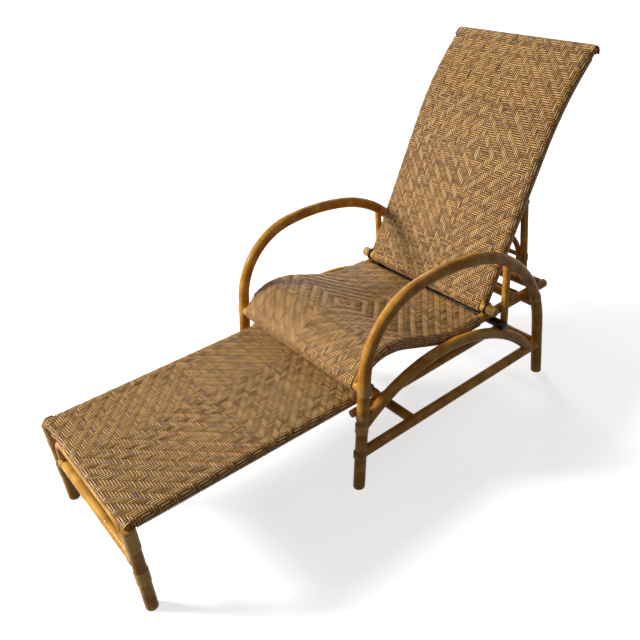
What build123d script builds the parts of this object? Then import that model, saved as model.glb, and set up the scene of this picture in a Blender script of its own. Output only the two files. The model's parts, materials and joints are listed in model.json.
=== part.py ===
from build123d import *
import os
from math import asin, atan2, cos, degrees, pi, radians, sin, sqrt, tan

# Rattan lounge chair with an adjustable back and a pull-out footrest. Millimetres, +Z up, the front
# towards -Y and the sitter's left towards +X. The origin is on the floor, under the middle of the
# chair with its footrest pulled out.
# Profiles lie in the side plane as (y, z). A heading is measured from straight up, towards the rear,
# and a turn is positive when it goes clockwise, seen with the rear on the right.

# Pole diameters
bow_d = 33.0
brace_d = 32.0
rail_d = 28.0
cross_d = 26.0
stretcher_d = 30.0
upright_d = 22.0
runner_d = 22.0
slat_d = 18.0
back_d = 27.0
hinge_bar_d = 20.0
prop_d = 22.0
prop_rod_d = 14.0
prop_bow_d = 16.0
foot_rail_d = 26.0
foot_leg_d = 33.0
foot_rod_d = 27.0
foot_bow_d = 20.0

# Fits
touch = 0.3            # between pieces that are lashed against each other
running = 0.05         # radial play of a pole that turns in an eye or a loop
foot_play = 1.1        # height of the prop's foot bar over the rails, so that it can swing
slide_gap = 5.0        # height from the footrest's rear end to the wrapped seat rails over it
lug_gap = 1.5          # between the woven back's edge and a hinge lug
saddle = 6.0           # how far the hollowed end of a pole reaches round the pole that it meets
foot_trim = 6.0        # length of a slanting leg that is cut level at the floor

# Woven panels
weave_t = 2.5
edge_turn = 150.0      # how far the woven edges go round the side rails
edge_inset = 18.0      # from the end rails to the ends of the woven edges

# Side bows: front leg, arm and rear leg in one pole
bow_x = 281.5          # from the middle of the chair to the bow's axis
leg_lean = 7.2
leg_run = 358.0
front_bend_r = 218.0
front_bend = 77.0
crown_r = 640.0
crown_bend = 21.0
rear_bend_r = 377.0
rear_bend = 70.0

# Arch braces and stretchers; lengths to the rear are measured from the front foot
brace_r = 500.0
brace_front_z = 198.0
brace_rear_in = 40.0   # from the rear leg's axis to the end of the brace on the stretcher
stretcher_z = 112.0
cross_stretcher_at = 212.0

# Seat rails, from the front rail over the hump to their straight rear ends
seat_front_z = 315.0
seat_front_heading = 32.0
fall_r = 120.0
hump_r = 200.0
hump_drop = 21.0
slope_run = 112.0
dip_r = 350.0
seat_rear_at = 506.0
rail_end_at = 812.0
seat_front_wrap = 150.0
seat_rear_wrap = 120.0
edge_fall = 22.0       # turn of the rail at the front rail that has no woven edge

# Back
pivot_at = 542.0
pivot_lift = 0.4       # between the pivot rod and the seat rails
back_x = 232.5
back_lean = 28.6
back_run = 468.0
back_curve_r = 808.0
back_curve = 21.0
back_weave_foot = 20.0  # from the pivot's axis to the ends of the woven edges
pivot_wrap = 150.0     # how far the woven panel goes round the pivot rod
top_wrap = 185.0
low_slat_up = 150.0    # places along the side rails, from the pivot
prop_slat_up = 322.0
high_slat_turn = 8.0   # turn of the side rails' curve up to the upper slat

# Hinge of the back
pivot_end = 33.0       # how far the pivot rod reaches past the lugs
lug_t = 3.0
lug_rim = 6.0
tang_w = 30.0
tang_depth = 20.0
cane_d = 3.0
cane_gap = 0.5
cane_turns = 6
cane_inset = 5.5       # from the lug to the winding

# Prop
front_stop_at = 647.0
prop_foot_at = 737.0
stop_over = 16.0       # how far the stop rods reach past the seat rails' axes
prop_x = 226.0
prop_bar_gap = 4.0     # between the prop slat and the prop's top bar
prop_bar_end = 11.0    # how far the top bar reaches past the poles' axes
prop_foot_half = 258.0
prop_crown = 120.0     # from the hinge down to the bow's crown
prop_corner_r = 60.0
prop_rod_down = 182.0  # from the hinge down to the cross rod
loop_x = 170.0
loop_w = 20.0
loop_t = 3.0

# Footrest
foot_x = 233.5
foot_front_at = -613.0
foot_rear_at = 98.0
foot_rise = 13.0       # how much higher the front rail lies than the rear bar
foot_bar_gap = 5.0     # between the rear bar's ends and the side bows
foot_front_wrap = 105.0
foot_rear_wrap = 90.0
foot_leg_x = 240.5
foot_leg_ahead = 5.0   # how far the legs stand in front of the front rail's axis
foot_slats = 2
foot_rod_z = 146.0
foot_bow_r = 70.0
foot_bow_lift = 5.0    # from the crossbar to the bow's ends

# Cane lashings
lash_t = 2.0
lash_h = 26.0
lash_gap = 0.5
low_lash_h = 20.0
foot_lash_h = 55.0
foot_low_lash_h = 40.0

# Radii and levels that follow
bow_r = bow_d / 2
rail_r = rail_d / 2
cross_r = cross_d / 2
back_r = back_d / 2
foot_r = foot_rail_d / 2
weave_out = touch + weave_t
seat_rail_x = bow_x - bow_r - touch - rail_r - weave_out
seat_rail_z = (seat_front_z + fall_r * (1 - sin(radians(seat_front_heading)))
               - (hump_r + dip_r) * (1 - cos(radians(hump_drop)))
               - slope_run * sin(radians(hump_drop)))
under_rail_z = seat_rail_z - rail_r - touch - cross_r
stop_z = seat_rail_z + rail_r + touch + cross_r
pivot_z = seat_rail_z + rail_r + pivot_lift + back_r
prop_foot_z = seat_rail_z + rail_r + foot_play + cross_r
foot_rear_z = seat_rail_z - rail_r - 2 * weave_out - slide_gap - foot_r
foot_front_z = foot_rear_z + foot_rise
foot_bar_half = bow_x - bow_r - foot_bar_gap
runner_x = bow_x - bow_r - touch - runner_d / 2
runner_z = foot_rear_z - foot_r - touch - runner_d / 2
upright_x = seat_rail_x + rail_r + touch + upright_d / 2
lug_x = back_x + back_r + weave_out + lug_gap


def walk(start, heading, runs):
    """Stations (y, z, heading) along straight runs (length, 0) and tangent arcs (radius, turn)."""
    y, z = start
    a = radians(heading)
    stations = [(y, z, a)]
    for size, turn in runs:
        if turn == 0:
            y += size * sin(a)
            z += size * cos(a)
        else:
            side = 1 if turn > 0 else -1
            b = a + radians(turn)
            y += side * size * (cos(a) - cos(b))
            z += side * size * (sin(b) - sin(a))
            a = b
        stations.append((y, z, a))
    return stations


def beside(station, shift):
    """The point at a distance to the left of a station."""
    y, z, a = station
    return (y - shift * cos(a), z + shift * sin(a))


def draw_runs(start, heading, runs, shift=0.0):
    """Draws the runs as lines and arcs, shifted to their left, and returns both end points."""
    stations = walk(start, heading, runs)
    for (size, turn), a, b in zip(runs, stations, stations[1:]):
        if turn == 0:
            Line(beside(a, shift), beside(b, shift))
        else:
            middle = walk(a[:2], degrees(a[2]), [(size, turn / 2)])[-1]
            ThreePointArc(beside(a, shift), beside(middle, shift), beside(b, shift))
    return beside(stations[0], shift), beside(stations[-1], shift)


def bent_pole(x, start, heading, runs, diameter):
    """A pole whose axis follows the runs in the side plane at x."""
    with BuildPart() as pole:
        with BuildLine(Plane.YZ.offset(x)) as axis:
            draw_runs(start, heading, runs)
        with BuildSketch(Plane(origin=axis.line @ 0, z_dir=axis.line % 0)):
            Circle(diameter / 2)
        sweep()
    return pole.part


def rod(start, end, diameter):
    """A straight pole between two points."""
    way = Vector(*end) - Vector(*start)
    with BuildPart() as pole:
        with BuildSketch(Plane(origin=start, z_dir=way)):
            Circle(diameter / 2)
        extrude(amount=way.length)
    return pole.part


def cross_rod(place, half, diameter):
    """A straight pole across the chair at a place (y, z)."""
    return rod((-half, *place), (half, *place), diameter)


def bow_in_plane(plane, half, foot, crown, corner_r, diameter):
    """A bow with two rounded corners, open at its feet, drawn across the chair in a plane."""
    with BuildPart() as bow:
        with BuildLine(plane) as axis:
            FilletPolyline((-half, foot), (-half, crown), (half, crown), (half, foot), radius=corner_r)
        with BuildSketch(Plane(origin=axis.line @ 0, z_dir=axis.line % 0)):
            Circle(diameter / 2)
        sweep()
    return bow.part


def woven_band(start, heading, runs, rail_radius, half):
    """A woven sheet across the chair, laid over the left side of rails that follow the runs."""
    with BuildPart() as sheet:
        with BuildSketch(Plane.YZ):
            with BuildLine():
                a, b = draw_runs(start, heading, runs, rail_radius + touch)
                c, d = draw_runs(start, heading, runs, rail_radius + weave_out)
                Line(a, c)
                Line(b, d)
            make_face()
        extrude(amount=half, both=True)
    return sheet.part


def woven_edge(x, start, heading, runs, rail_radius):
    """The edge of a woven sheet, which goes on round the outer side of its side rail."""
    outward = 1 if x > 0 else -1
    a = radians(heading)
    across = Plane(origin=(x, *start), x_dir=(outward, 0, 0),
                   z_dir=(0, -outward * sin(a), -outward * cos(a)))
    with BuildPart() as edge:
        with BuildLine(Plane.YZ.offset(x)):
            draw_runs(start, heading, runs)
        with BuildSketch(across):
            with BuildLine():
                inner = CenterArc((0, 0), rail_radius + touch, 90, -edge_turn)
                outer = CenterArc((0, 0), rail_radius + weave_out, 90, -edge_turn)
                Line(inner @ 0, outer @ 0)
                Line(inner @ 1, outer @ 1)
            make_face()
        sweep()
    return edge.part


def lashing(middle, way, diameter, height):
    """A sleeve of cane round a pole."""
    inner = diameter / 2 + lash_gap
    with BuildPart() as sleeve:
        with BuildSketch(Plane(origin=middle, z_dir=way)):
            Circle(inner + lash_t)
            Circle(inner, mode=Mode.SUBTRACT)
        extrude(amount=height / 2, both=True)
    return sleeve.part


def save(piece, name):
    """Names a finished piece and writes it."""
    piece.part.label = name
    export_step(piece.part, f"parts/{name}.step")


os.makedirs("parts", exist_ok=True)
sides = (("left", 1), ("right", -1))

# The front foot stands where the chair's length has its middle over the origin
back_runs = [(back_run, 0), (back_curve_r, back_curve)]
rear_reach = walk((pivot_at, pivot_z), back_lean, back_runs)[-1][0] + back_r + weave_out
leg_reach = foot_leg_ahead + foot_leg_d / 2 + lash_gap + lash_t
front_reach = foot_front_at - max(foot_r + weave_out, leg_reach)
foot_y = -(rear_reach + front_reach) / 2

# Places in the side plane
bow_runs = [(leg_run, 0), (front_bend_r, front_bend), (crown_r, crown_bend), (rear_bend_r, rear_bend)]
bow_line = walk((foot_y, 0), leg_lean, bow_runs)
rear_turn_y, rear_turn_z, rear_turn = bow_line[3]
rear_centre = (rear_turn_y + rear_bend_r * cos(rear_turn), rear_turn_z - rear_bend_r * sin(rear_turn))
rear_low_y, rear_low_z, rear_way = bow_line[4]


def front_leg_y(z):
    return foot_y + z * tan(radians(leg_lean))


def rear_leg_y(z):
    if z < rear_low_z:
        return rear_low_y - (rear_low_z - z) * tan(rear_way)
    return rear_centre[0] + sqrt(rear_bend_r**2 - (z - rear_centre[1])**2)


def arm_z(y):
    """The axis of the arm's rear bend."""
    return rear_centre[1] + sqrt(rear_bend_r**2 - (y - rear_centre[0])**2)


brace_front = (front_leg_y(brace_front_z), brace_front_z)
brace_rear = (rear_leg_y(stretcher_z) - brace_rear_in, stretcher_z)
chord_y = brace_rear[0] - brace_front[0]
chord_z = brace_rear[1] - brace_front[1]
chord = sqrt(chord_y**2 + chord_z**2)
sag = sqrt(brace_r**2 - chord**2 / 4)
brace_centre = ((brace_front[0] + brace_rear[0]) / 2 + sag * chord_z / chord,
                (brace_front[1] + brace_rear[1]) / 2 - sag * chord_y / chord)
brace_heading = degrees(atan2(brace_front[1] - brace_centre[1], brace_centre[0] - brace_front[0]))
brace_runs = [(brace_r, degrees(2 * asin(chord / 2 / brace_r)))]

pivot = (foot_y + pivot_at, pivot_z)
wound_end_y = pivot[0] + back_r + touch + cane_d

bearer_reach = brace_r + brace_d / 2 + touch + cross_r
bearer_y = brace_centre[0] + sqrt(bearer_reach**2 - (under_rail_z - brace_centre[1])**2)

# The uprights stand behind the bearer, and behind the wound ends of the pivot rod
upright_y = max(bearer_y + cross_r, wound_end_y) + touch + upright_d / 2
brace_top_z = brace_centre[1] + sqrt((brace_r + brace_d / 2)**2 - (upright_y - brace_centre[0])**2)

seat_front = (front_leg_y(seat_front_z), seat_front_z)
seat_curve = [(fall_r, 90 - seat_front_heading), (hump_r, hump_drop), (slope_run, 0), (dip_r, -hump_drop)]
seat_line = walk(seat_front, seat_front_heading, seat_curve)
crest, slope_foot, dip_end = seat_line[1], seat_line[3], seat_line[4]
seat_rear = (foot_y + seat_rear_at, seat_rail_z)
seat_tail = [(seat_rear[0] - dip_end[0], 0)]
rail_tail = [(foot_y + rail_end_at - dip_end[0], 0)]

back_top = walk(pivot, back_lean, back_runs)[-1][:2]
low_slat = walk(pivot, back_lean, [(low_slat_up, 0)])[-1]
prop_slat_line = walk(pivot, back_lean, [(prop_slat_up, 0)])[-1]
high_slat = walk(pivot, back_lean, [(back_run, 0), (back_curve_r, high_slat_turn)])[-1]

hinge = beside(prop_slat_line, -hinge_bar_d - prop_bar_gap)
prop_foot = (foot_y + prop_foot_at, prop_foot_z)
prop_len = sqrt((prop_foot[0] - hinge[0])**2 + (prop_foot[1] - hinge[1])**2)
prop_up = ((hinge[0] - prop_foot[0]) / prop_len, (hinge[1] - prop_foot[1]) / prop_len)
prop_plane = Plane(origin=(0, *hinge), x_dir=(1, 0, 0), z_dir=(0, -prop_up[1], prop_up[0]))
prop_bow_x = prop_x - prop_d / 2 - touch - prop_bow_d / 2

foot_front = (foot_y + foot_front_at, foot_front_z)
foot_rear = (foot_y + foot_rear_at, foot_rear_z)
foot_len = sqrt((foot_rear[0] - foot_front[0])**2 + foot_rise**2)
foot_heading = 90 + degrees(atan2(foot_rise, foot_rear[0] - foot_front[0]))


def down_prop(distance):
    """A place (y, z) on the prop's poles, at a distance from the hinge."""
    return (hinge[0] - prop_up[0] * distance, hinge[1] - prop_up[1] * distance)


# Side bows, each one bent pole with its feet cut level
bow_start = (foot_y - foot_trim * tan(radians(leg_lean)), -foot_trim)
bow_first = leg_run + foot_trim / cos(radians(leg_lean))
bow_last = (rear_low_z + foot_trim) / -cos(rear_way)
full_bow_runs = [(bow_first, 0)] + bow_runs[1:] + [(bow_last, 0)]
bow_cut = {}
for side, sign in sides:
    bow_stock = bent_pole(sign * bow_x, bow_start, leg_lean, full_bow_runs, bow_d)
    bow_cut[side] = bent_pole(sign * bow_x, bow_start, leg_lean, full_bow_runs, bow_d + 2 * touch)
    with BuildPart() as side_bow:
        add(bow_stock)
        split(bisect_by=Plane.XY, keep=Keep.TOP)
    save(side_bow, f"side_bow_{side}")

# Lower stretchers between the legs of each bow
stretcher_cut = {}
for side, sign in sides:
    x = sign * bow_x
    ends = ((x, front_leg_y(stretcher_z), stretcher_z), (x, rear_leg_y(stretcher_z), stretcher_z))
    stretcher_stock = rod(*ends, stretcher_d)
    stretcher_cut[side] = rod(*ends, stretcher_d + 2 * touch)
    with BuildPart() as lower_stretcher:
        add(stretcher_stock)
        add(bow_cut[side], mode=Mode.SUBTRACT)
    save(lower_stretcher, f"lower_stretcher_{side}")

# Arch braces from the front legs to the rear ends of the stretchers
brace_cut = {}
for side, sign in sides:
    brace_stock = bent_pole(sign * bow_x, brace_front, brace_heading, brace_runs, brace_d)
    brace_cut[side] = bent_pole(sign * bow_x, brace_front, brace_heading, brace_runs, brace_d + 2 * touch)
    with BuildPart() as arch_brace:
        add(brace_stock)
        add(bow_cut[side], mode=Mode.SUBTRACT)
        add(stretcher_cut[side], mode=Mode.SUBTRACT)
        split(bisect_by=Plane.XY.offset(stretcher_z), keep=Keep.TOP)
    save(arch_brace, f"arch_brace_{side}")

# Seat rails, slotted for the hinge lugs
front_rail_cut = cross_rod(seat_front, bow_x, rail_d + 2 * touch)
rail_cut = {}
for side, sign in sides:
    x = sign * seat_rail_x
    rail_stock = bent_pole(x, seat_front, seat_front_heading, seat_curve + rail_tail, rail_d)
    rail_cut[side] = bent_pole(x, seat_front, seat_front_heading, seat_curve + rail_tail, rail_d + 2 * touch)
    slot_x = sign * (lug_x + lug_t / 2)
    with BuildPart() as seat_rail:
        add(rail_stock)
        add(front_rail_cut, mode=Mode.SUBTRACT)
        with BuildSketch(Plane.XY.offset(seat_rail_z + rail_r - tang_depth)):
            with Locations((slot_x, pivot[0])):
                Rectangle(lug_t + 2 * touch, tang_w + 2 * touch)
        extrude(amount=tang_depth + touch, mode=Mode.SUBTRACT)
    save(seat_rail, f"seat_rail_{side}")

# Front and rear rails of the seat, and the slats under it
with BuildPart() as seat_front_rail:
    add(cross_rod(seat_front, bow_x, rail_d))
    for cut in bow_cut.values():
        add(cut, mode=Mode.SUBTRACT)
save(seat_front_rail, "seat_front_rail")

with BuildPart() as seat_rear_rail:
    add(cross_rod(seat_rear, seat_rail_x, rail_d))
    for cut in rail_cut.values():
        add(cut, mode=Mode.SUBTRACT)
save(seat_rear_rail, "seat_rear_rail")

slat_lift = rail_r - slat_d / 2
with BuildPart() as seat_slats:
    for station in (crest, slope_foot):
        add(cross_rod(beside(station, slat_lift), seat_rail_x, slat_d))
    for cut in rail_cut.values():
        add(cut, mode=Mode.SUBTRACT)
save(seat_slats, "seat_slats")

# Woven seat, laid over the rails, with its edges round them
seat_band_runs = [(0, seat_front_wrap)] + seat_curve + seat_tail
seat_band = woven_band(seat_front, seat_front_heading - seat_front_wrap, seat_band_runs, rail_r, seat_rail_x)
seat_rear_half = seat_rail_x - rail_r - touch
seat_rear_band = woven_band(seat_rear, 90, [(0, seat_rear_wrap)], rail_r, seat_rear_half)
edge_start = walk(seat_front, seat_front_heading, [(fall_r, edge_fall)])[-1]
edge_heading = seat_front_heading + edge_fall
seat_edge_runs = [(fall_r, 90 - edge_heading)] + seat_curve[1:] + seat_tail
seat_edges = [woven_edge(sign * seat_rail_x, edge_start[:2], edge_heading, seat_edge_runs, rail_r)
              for side, sign in sides]
with BuildPart() as seat_weave:
    add(seat_band)
    add(seat_rear_band)
    add(seat_edges)
save(seat_weave, "seat_weave")

# Bearer under the seat rails, on the arch braces, and the uprights behind it
with BuildPart() as seat_bearer:
    add(cross_rod((bearer_y, under_rail_z), bow_x + brace_d / 2, cross_d))
save(seat_bearer, "seat_bearer")

for side, sign in sides:
    x = sign * upright_x
    upright_low = (x, upright_y, brace_top_z - saddle)
    upright_stock = rod(upright_low, (x, upright_y, arm_z(upright_y) - bow_r + saddle), upright_d)
    with BuildPart() as rail_upright:
        add(upright_stock)
        add(brace_cut[side], mode=Mode.SUBTRACT)
        add(bow_cut[side], mode=Mode.SUBTRACT)
    save(rail_upright, f"rail_upright_{side}")

# Stop rods for the prop's foot, across the rails
stop_half = seat_rail_x + stop_over
rear_stop_y = prop_foot[0] + cross_d + touch
with BuildPart() as front_stop_rod:
    add(cross_rod((foot_y + front_stop_at, stop_z), stop_half, cross_d))
save(front_stop_rod, "front_stop_rod")

with BuildPart() as rear_stop_rod:
    add(cross_rod((rear_stop_y, stop_z), stop_half, cross_d))
save(rear_stop_rod, "rear_stop_rod")

# Cross rails between the rear legs, and the stretcher between the lower stretchers
with BuildPart() as rear_cross_rail:
    add(cross_rod((rear_leg_y(under_rail_z), under_rail_z), bow_x, cross_d))
    for cut in bow_cut.values():
        add(cut, mode=Mode.SUBTRACT)
save(rear_cross_rail, "rear_cross_rail")

low_rail_place = (rear_leg_y(stretcher_z), stretcher_z)
with BuildPart() as rear_low_rail:
    add(cross_rod(low_rail_place, bow_x, cross_d))
    for cut in (*bow_cut.values(), *stretcher_cut.values()):
        add(cut, mode=Mode.SUBTRACT)
save(rear_low_rail, "rear_low_rail")

with BuildPart() as cross_stretcher:
    add(cross_rod((foot_y + cross_stretcher_at, stretcher_z), bow_x, stretcher_d))
    for cut in stretcher_cut.values():
        add(cut, mode=Mode.SUBTRACT)
save(cross_stretcher, "cross_stretcher")

# Runners that carry the footrest's rear bar
for side, sign in sides:
    x = sign * runner_x
    runner_front = front_leg_y(runner_z) - bow_r
    with BuildPart() as footrest_runner:
        add(rod((x, runner_front, runner_z), (x, bearer_y + cross_r, runner_z), runner_d))
    save(footrest_runner, f"footrest_runner_{side}")

# Steel hinge lugs, let into the seat rails
tang_low = seat_rail_z + rail_r - tang_depth + touch
for side, sign in sides:
    lug_plane = Plane.YZ.offset(sign * lug_x)
    with BuildPart() as hinge_lug:
        with BuildSketch(lug_plane):
            with Locations(pivot):
                Circle(back_r + lug_rim)
            with Locations((pivot[0], (pivot_z + tang_low) / 2)):
                Rectangle(tang_w, pivot_z - tang_low)
            with Locations(pivot):
                Circle(back_r + running, mode=Mode.SUBTRACT)
        extrude(amount=sign * lug_t)
    save(hinge_lug, f"hinge_lug_{side}")

# Cane lashings on the legs
leg_way = (0, sin(radians(leg_lean)), cos(radians(leg_lean)))
rail_cross_turn = pi - asin((seat_rail_z - rear_centre[1]) / rear_bend_r)
rail_cross_way = (0, sin(rail_cross_turn), cos(rail_cross_turn))
with BuildPart() as seat_lashings:
    for side, sign in sides:
        add(lashing((sign * bow_x, *seat_front), leg_way, bow_d, lash_h))
    add(front_rail_cut, mode=Mode.SUBTRACT)
save(seat_lashings, "seat_lashings")

with BuildPart() as brace_lashings:
    for side, sign in sides:
        add(lashing((sign * bow_x, *brace_front), leg_way, bow_d, lash_h))
    for cut in brace_cut.values():
        add(cut, mode=Mode.SUBTRACT)
save(brace_lashings, "brace_lashings")

with BuildPart() as stretcher_lashings:
    for side, sign in sides:
        add(lashing((sign * bow_x, front_leg_y(stretcher_z), stretcher_z), leg_way, bow_d, low_lash_h))
    for cut in stretcher_cut.values():
        add(cut, mode=Mode.SUBTRACT)
save(stretcher_lashings, "stretcher_lashings")

with BuildPart() as rail_lashings:
    for side, sign in sides:
        add(lashing((sign * bow_x, rear_leg_y(seat_rail_z), seat_rail_z), rail_cross_way, bow_d, low_lash_h))
save(rail_lashings, "rail_lashings")

# Back: pivot rod, side rails, top rail and slats
pivot_half = lug_x + lug_t + pivot_end
with BuildPart() as pivot_rod:
    add(cross_rod(pivot, pivot_half, back_d))
save(pivot_rod, "pivot_rod")

pivot_cut = cross_rod(pivot, pivot_half, back_d + 2 * touch)
top_cut = cross_rod(back_top, back_x + back_r, back_d + 2 * touch)
back_cut = {}
for side, sign in sides:
    rail_stock = bent_pole(sign * back_x, pivot, back_lean, back_runs, back_d)
    back_cut[side] = bent_pole(sign * back_x, pivot, back_lean, back_runs, back_d + 2 * touch)
    with BuildPart() as back_rail:
        add(rail_stock)
        add(pivot_cut, mode=Mode.SUBTRACT)
        add(top_cut, mode=Mode.SUBTRACT)
    save(back_rail, f"back_rail_{side}")

with BuildPart() as back_top_rail:
    add(cross_rod(back_top, back_x + back_r, back_d))
save(back_top_rail, "back_top_rail")

with BuildPart() as back_slats:
    for station in (low_slat, high_slat):
        add(cross_rod(beside(station, back_r - slat_d / 2), back_x, slat_d))
    for cut in back_cut.values():
        add(cut, mode=Mode.SUBTRACT)
save(back_slats, "back_slats")

with BuildPart() as prop_slat:
    add(cross_rod(prop_slat_line[:2], back_x, hinge_bar_d))
    for cut in back_cut.values():
        add(cut, mode=Mode.SUBTRACT)
save(prop_slat, "prop_slat")

# Woven back, from round the pivot rod up over the top rail, and round the side rails
pivot_band_runs = [(0, pivot_wrap), (back_weave_foot, 0)]
pivot_band_half = min(back_x, seat_rear_half)
pivot_band = woven_band(pivot, back_lean - pivot_wrap, pivot_band_runs, back_r, pivot_band_half)
weave_foot = walk(pivot, back_lean, [(back_weave_foot, 0)])[-1][:2]
back_band_runs = [(back_run - back_weave_foot, 0), (back_curve_r, back_curve), (0, top_wrap)]
back_band = woven_band(weave_foot, back_lean, back_band_runs, back_r, back_x)
edge_curve = back_curve - degrees(edge_inset / back_curve_r)
back_edge_runs = [(back_run - back_weave_foot, 0), (back_curve_r, edge_curve)]
back_edges = [woven_edge(sign * back_x, weave_foot, back_lean, back_edge_runs, back_r)
              for side, sign in sides]
with BuildPart() as back_weave:
    add(pivot_band)
    add(back_band)
    add(back_edges)
save(back_weave, "back_weave")

# Cane wound round the ends of the pivot rod: half turns of a helix, each drawn as two tangent arcs
cane_pitch = cane_d + cane_gap
cane_r = back_r + touch + cane_d / 2
cane_slope = cane_pitch / (2 * pi)


def cane_point(sign, turn):
    """A point of the winding and its direction there, after a number of turns."""
    a = 2 * pi * turn
    x = lug_x + lug_t + cane_inset + cane_d / 2 + cane_pitch * turn
    point = Vector(sign * x, pivot[0] + cane_r * cos(a), pivot_z + cane_r * sin(a))
    way = Vector(sign * cane_slope, -cane_r * sin(a), cane_r * cos(a)).normalized()
    return point, way


def cane_gap_to_itself(steps=48):
    """The least gap between points of the winding that lie at least half a turn apart."""
    points = [cane_point(1, i / steps)[0] for i in range(cane_turns * steps + 1)]
    return min((p - q).length for i, p in enumerate(points) for q in points[i + steps // 2:]) - cane_d


print(f"least gap of the cane winding to itself: {cane_gap_to_itself():.2f} mm")
with BuildPart() as rod_windings:
    for side, sign in sides:
        with BuildLine() as cane_line:
            for half_turn in range(2 * cane_turns):
                p, p_way = cane_point(sign, half_turn / 2)
                q, q_way = cane_point(sign, half_turn / 2 + 0.5)
                span = q - p
                ways = p_way + q_way
                spread = 2 * (1 - p_way.dot(q_way))
                lean = span.dot(ways)
                reach = (sqrt(lean**2 + spread * span.dot(span)) - lean) / spread
                joint = (p + q + (p_way - q_way) * reach) * 0.5
                TangentArc(p, joint, tangent=p_way)
                TangentArc(joint, q, tangent=(q - q_way * reach) - (p + p_way * reach))
        with BuildSketch(Plane(origin=cane_line.line @ 0, z_dir=cane_line.line % 0)):
            Circle(cane_d / 2)
        sweep()
save(rod_windings, "rod_windings")

# Loops that hold the prop's top bar to its slat
loop_in = hinge_bar_d / 2 + running
loop_way = (hinge[0] - prop_slat_line[0], hinge[1] - prop_slat_line[1])
loop_span = sqrt(loop_way[0]**2 + loop_way[1]**2)
loop_middle = ((hinge[0] + prop_slat_line[0]) / 2, (hinge[1] + prop_slat_line[1]) / 2)
with BuildPart() as prop_loops:
    for side, sign in sides:
        with BuildSketch(Plane(origin=(sign * loop_x, *loop_middle), x_dir=(0, *loop_way), z_dir=(1, 0, 0))):
            SlotCenterToCenter(loop_span, 2 * (loop_in + loop_t))
            SlotCenterToCenter(loop_span, 2 * loop_in, mode=Mode.SUBTRACT)
        extrude(amount=loop_w / 2, both=True)
save(prop_loops, "prop_loops")

# Prop: top bar, poles, bow, cross rod and foot bar
with BuildPart() as prop_top_bar:
    add(cross_rod(hinge, prop_x + prop_bar_end, hinge_bar_d))
save(prop_top_bar, "prop_top_bar")

with BuildPart() as prop_foot_bar:
    add(cross_rod(prop_foot, prop_foot_half, cross_d))
save(prop_foot_bar, "prop_foot_bar")

prop_top_cut = cross_rod(hinge, prop_x + prop_d, hinge_bar_d + 2 * touch)
prop_foot_cut = cross_rod(prop_foot, prop_foot_half, cross_d + 2 * touch)
for side, sign in sides:
    x = sign * prop_x
    pole_stock = rod((x, *down_prop(hinge_bar_d / 2 + touch - saddle)), (x, *prop_foot), prop_d)
    with BuildPart() as prop_pole:
        add(pole_stock)
        add(prop_top_cut, mode=Mode.SUBTRACT)
        add(prop_foot_cut, mode=Mode.SUBTRACT)
    save(prop_pole, f"prop_pole_{side}")

prop_bow_shape = (prop_plane, prop_bow_x, -prop_len, -prop_crown, prop_corner_r)
prop_bow_stock = bow_in_plane(*prop_bow_shape, prop_bow_d)
prop_bow_cut = bow_in_plane(*prop_bow_shape, prop_bow_d + 2 * touch)
with BuildPart() as prop_bow:
    add(prop_bow_stock)
    add(prop_foot_cut, mode=Mode.SUBTRACT)
save(prop_bow, "prop_bow")

with BuildPart() as prop_cross_rod:
    add(cross_rod(down_prop(prop_rod_down), prop_bow_x, prop_rod_d))
    add(prop_bow_cut, mode=Mode.SUBTRACT)
save(prop_cross_rod, "prop_cross_rod")

with BuildPart() as prop_lashings:
    for side, sign in sides:
        add(lashing((sign * prop_x, *down_prop(prop_rod_down)), (0, *prop_up), prop_d, low_lash_h))
    add(prop_bow_cut, mode=Mode.SUBTRACT)
save(prop_lashings, "prop_lashings")

# Footrest: front rail, rear bar, side rails and slats
with BuildPart() as footrest_front_rail:
    add(cross_rod(foot_front, foot_x + foot_r, foot_rail_d))
save(footrest_front_rail, "footrest_front_rail")

with BuildPart() as footrest_rear_bar:
    add(cross_rod(foot_rear, foot_bar_half, foot_rail_d))
save(footrest_rear_bar, "footrest_rear_bar")

foot_front_cut = cross_rod(foot_front, foot_bar_half, foot_rail_d + 2 * touch)
foot_rear_cut = cross_rod(foot_rear, foot_bar_half, foot_rail_d + 2 * touch)
foot_rail_cut = {}
for side, sign in sides:
    ends = ((sign * foot_x, *foot_front), (sign * foot_x, *foot_rear))
    foot_stock = rod(*ends, foot_rail_d)
    foot_rail_cut[side] = rod(*ends, foot_rail_d + 2 * touch)
    with BuildPart() as footrest_rail:
        add(foot_stock)
        add(foot_front_cut, mode=Mode.SUBTRACT)
        add(foot_rear_cut, mode=Mode.SUBTRACT)
    save(footrest_rail, f"footrest_rail_{side}")

with BuildPart() as footrest_slats:
    for i in range(foot_slats):
        station = walk(foot_front, foot_heading, [(foot_len * (i + 1) / (foot_slats + 1), 0)])[-1]
        add(cross_rod(beside(station, foot_r - slat_d / 2), foot_x, slat_d))
    for cut in foot_rail_cut.values():
        add(cut, mode=Mode.SUBTRACT)
save(footrest_slats, "footrest_slats")

# Woven footrest
foot_band_runs = [(0, foot_front_wrap), (foot_len, 0), (0, foot_rear_wrap)]
foot_band = woven_band(foot_front, foot_heading - foot_front_wrap, foot_band_runs, foot_r, foot_x)
foot_edge_start = walk(foot_front, foot_heading, [(edge_inset, 0)])[-1][:2]
foot_edge_runs = [(foot_len - 2 * edge_inset, 0)]
foot_edges = [woven_edge(sign * foot_x, foot_edge_start, foot_heading, foot_edge_runs, foot_r)
              for side, sign in sides]
with BuildPart() as footrest_weave:
    add(foot_band)
    add(foot_edges)
save(footrest_weave, "footrest_weave")

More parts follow.
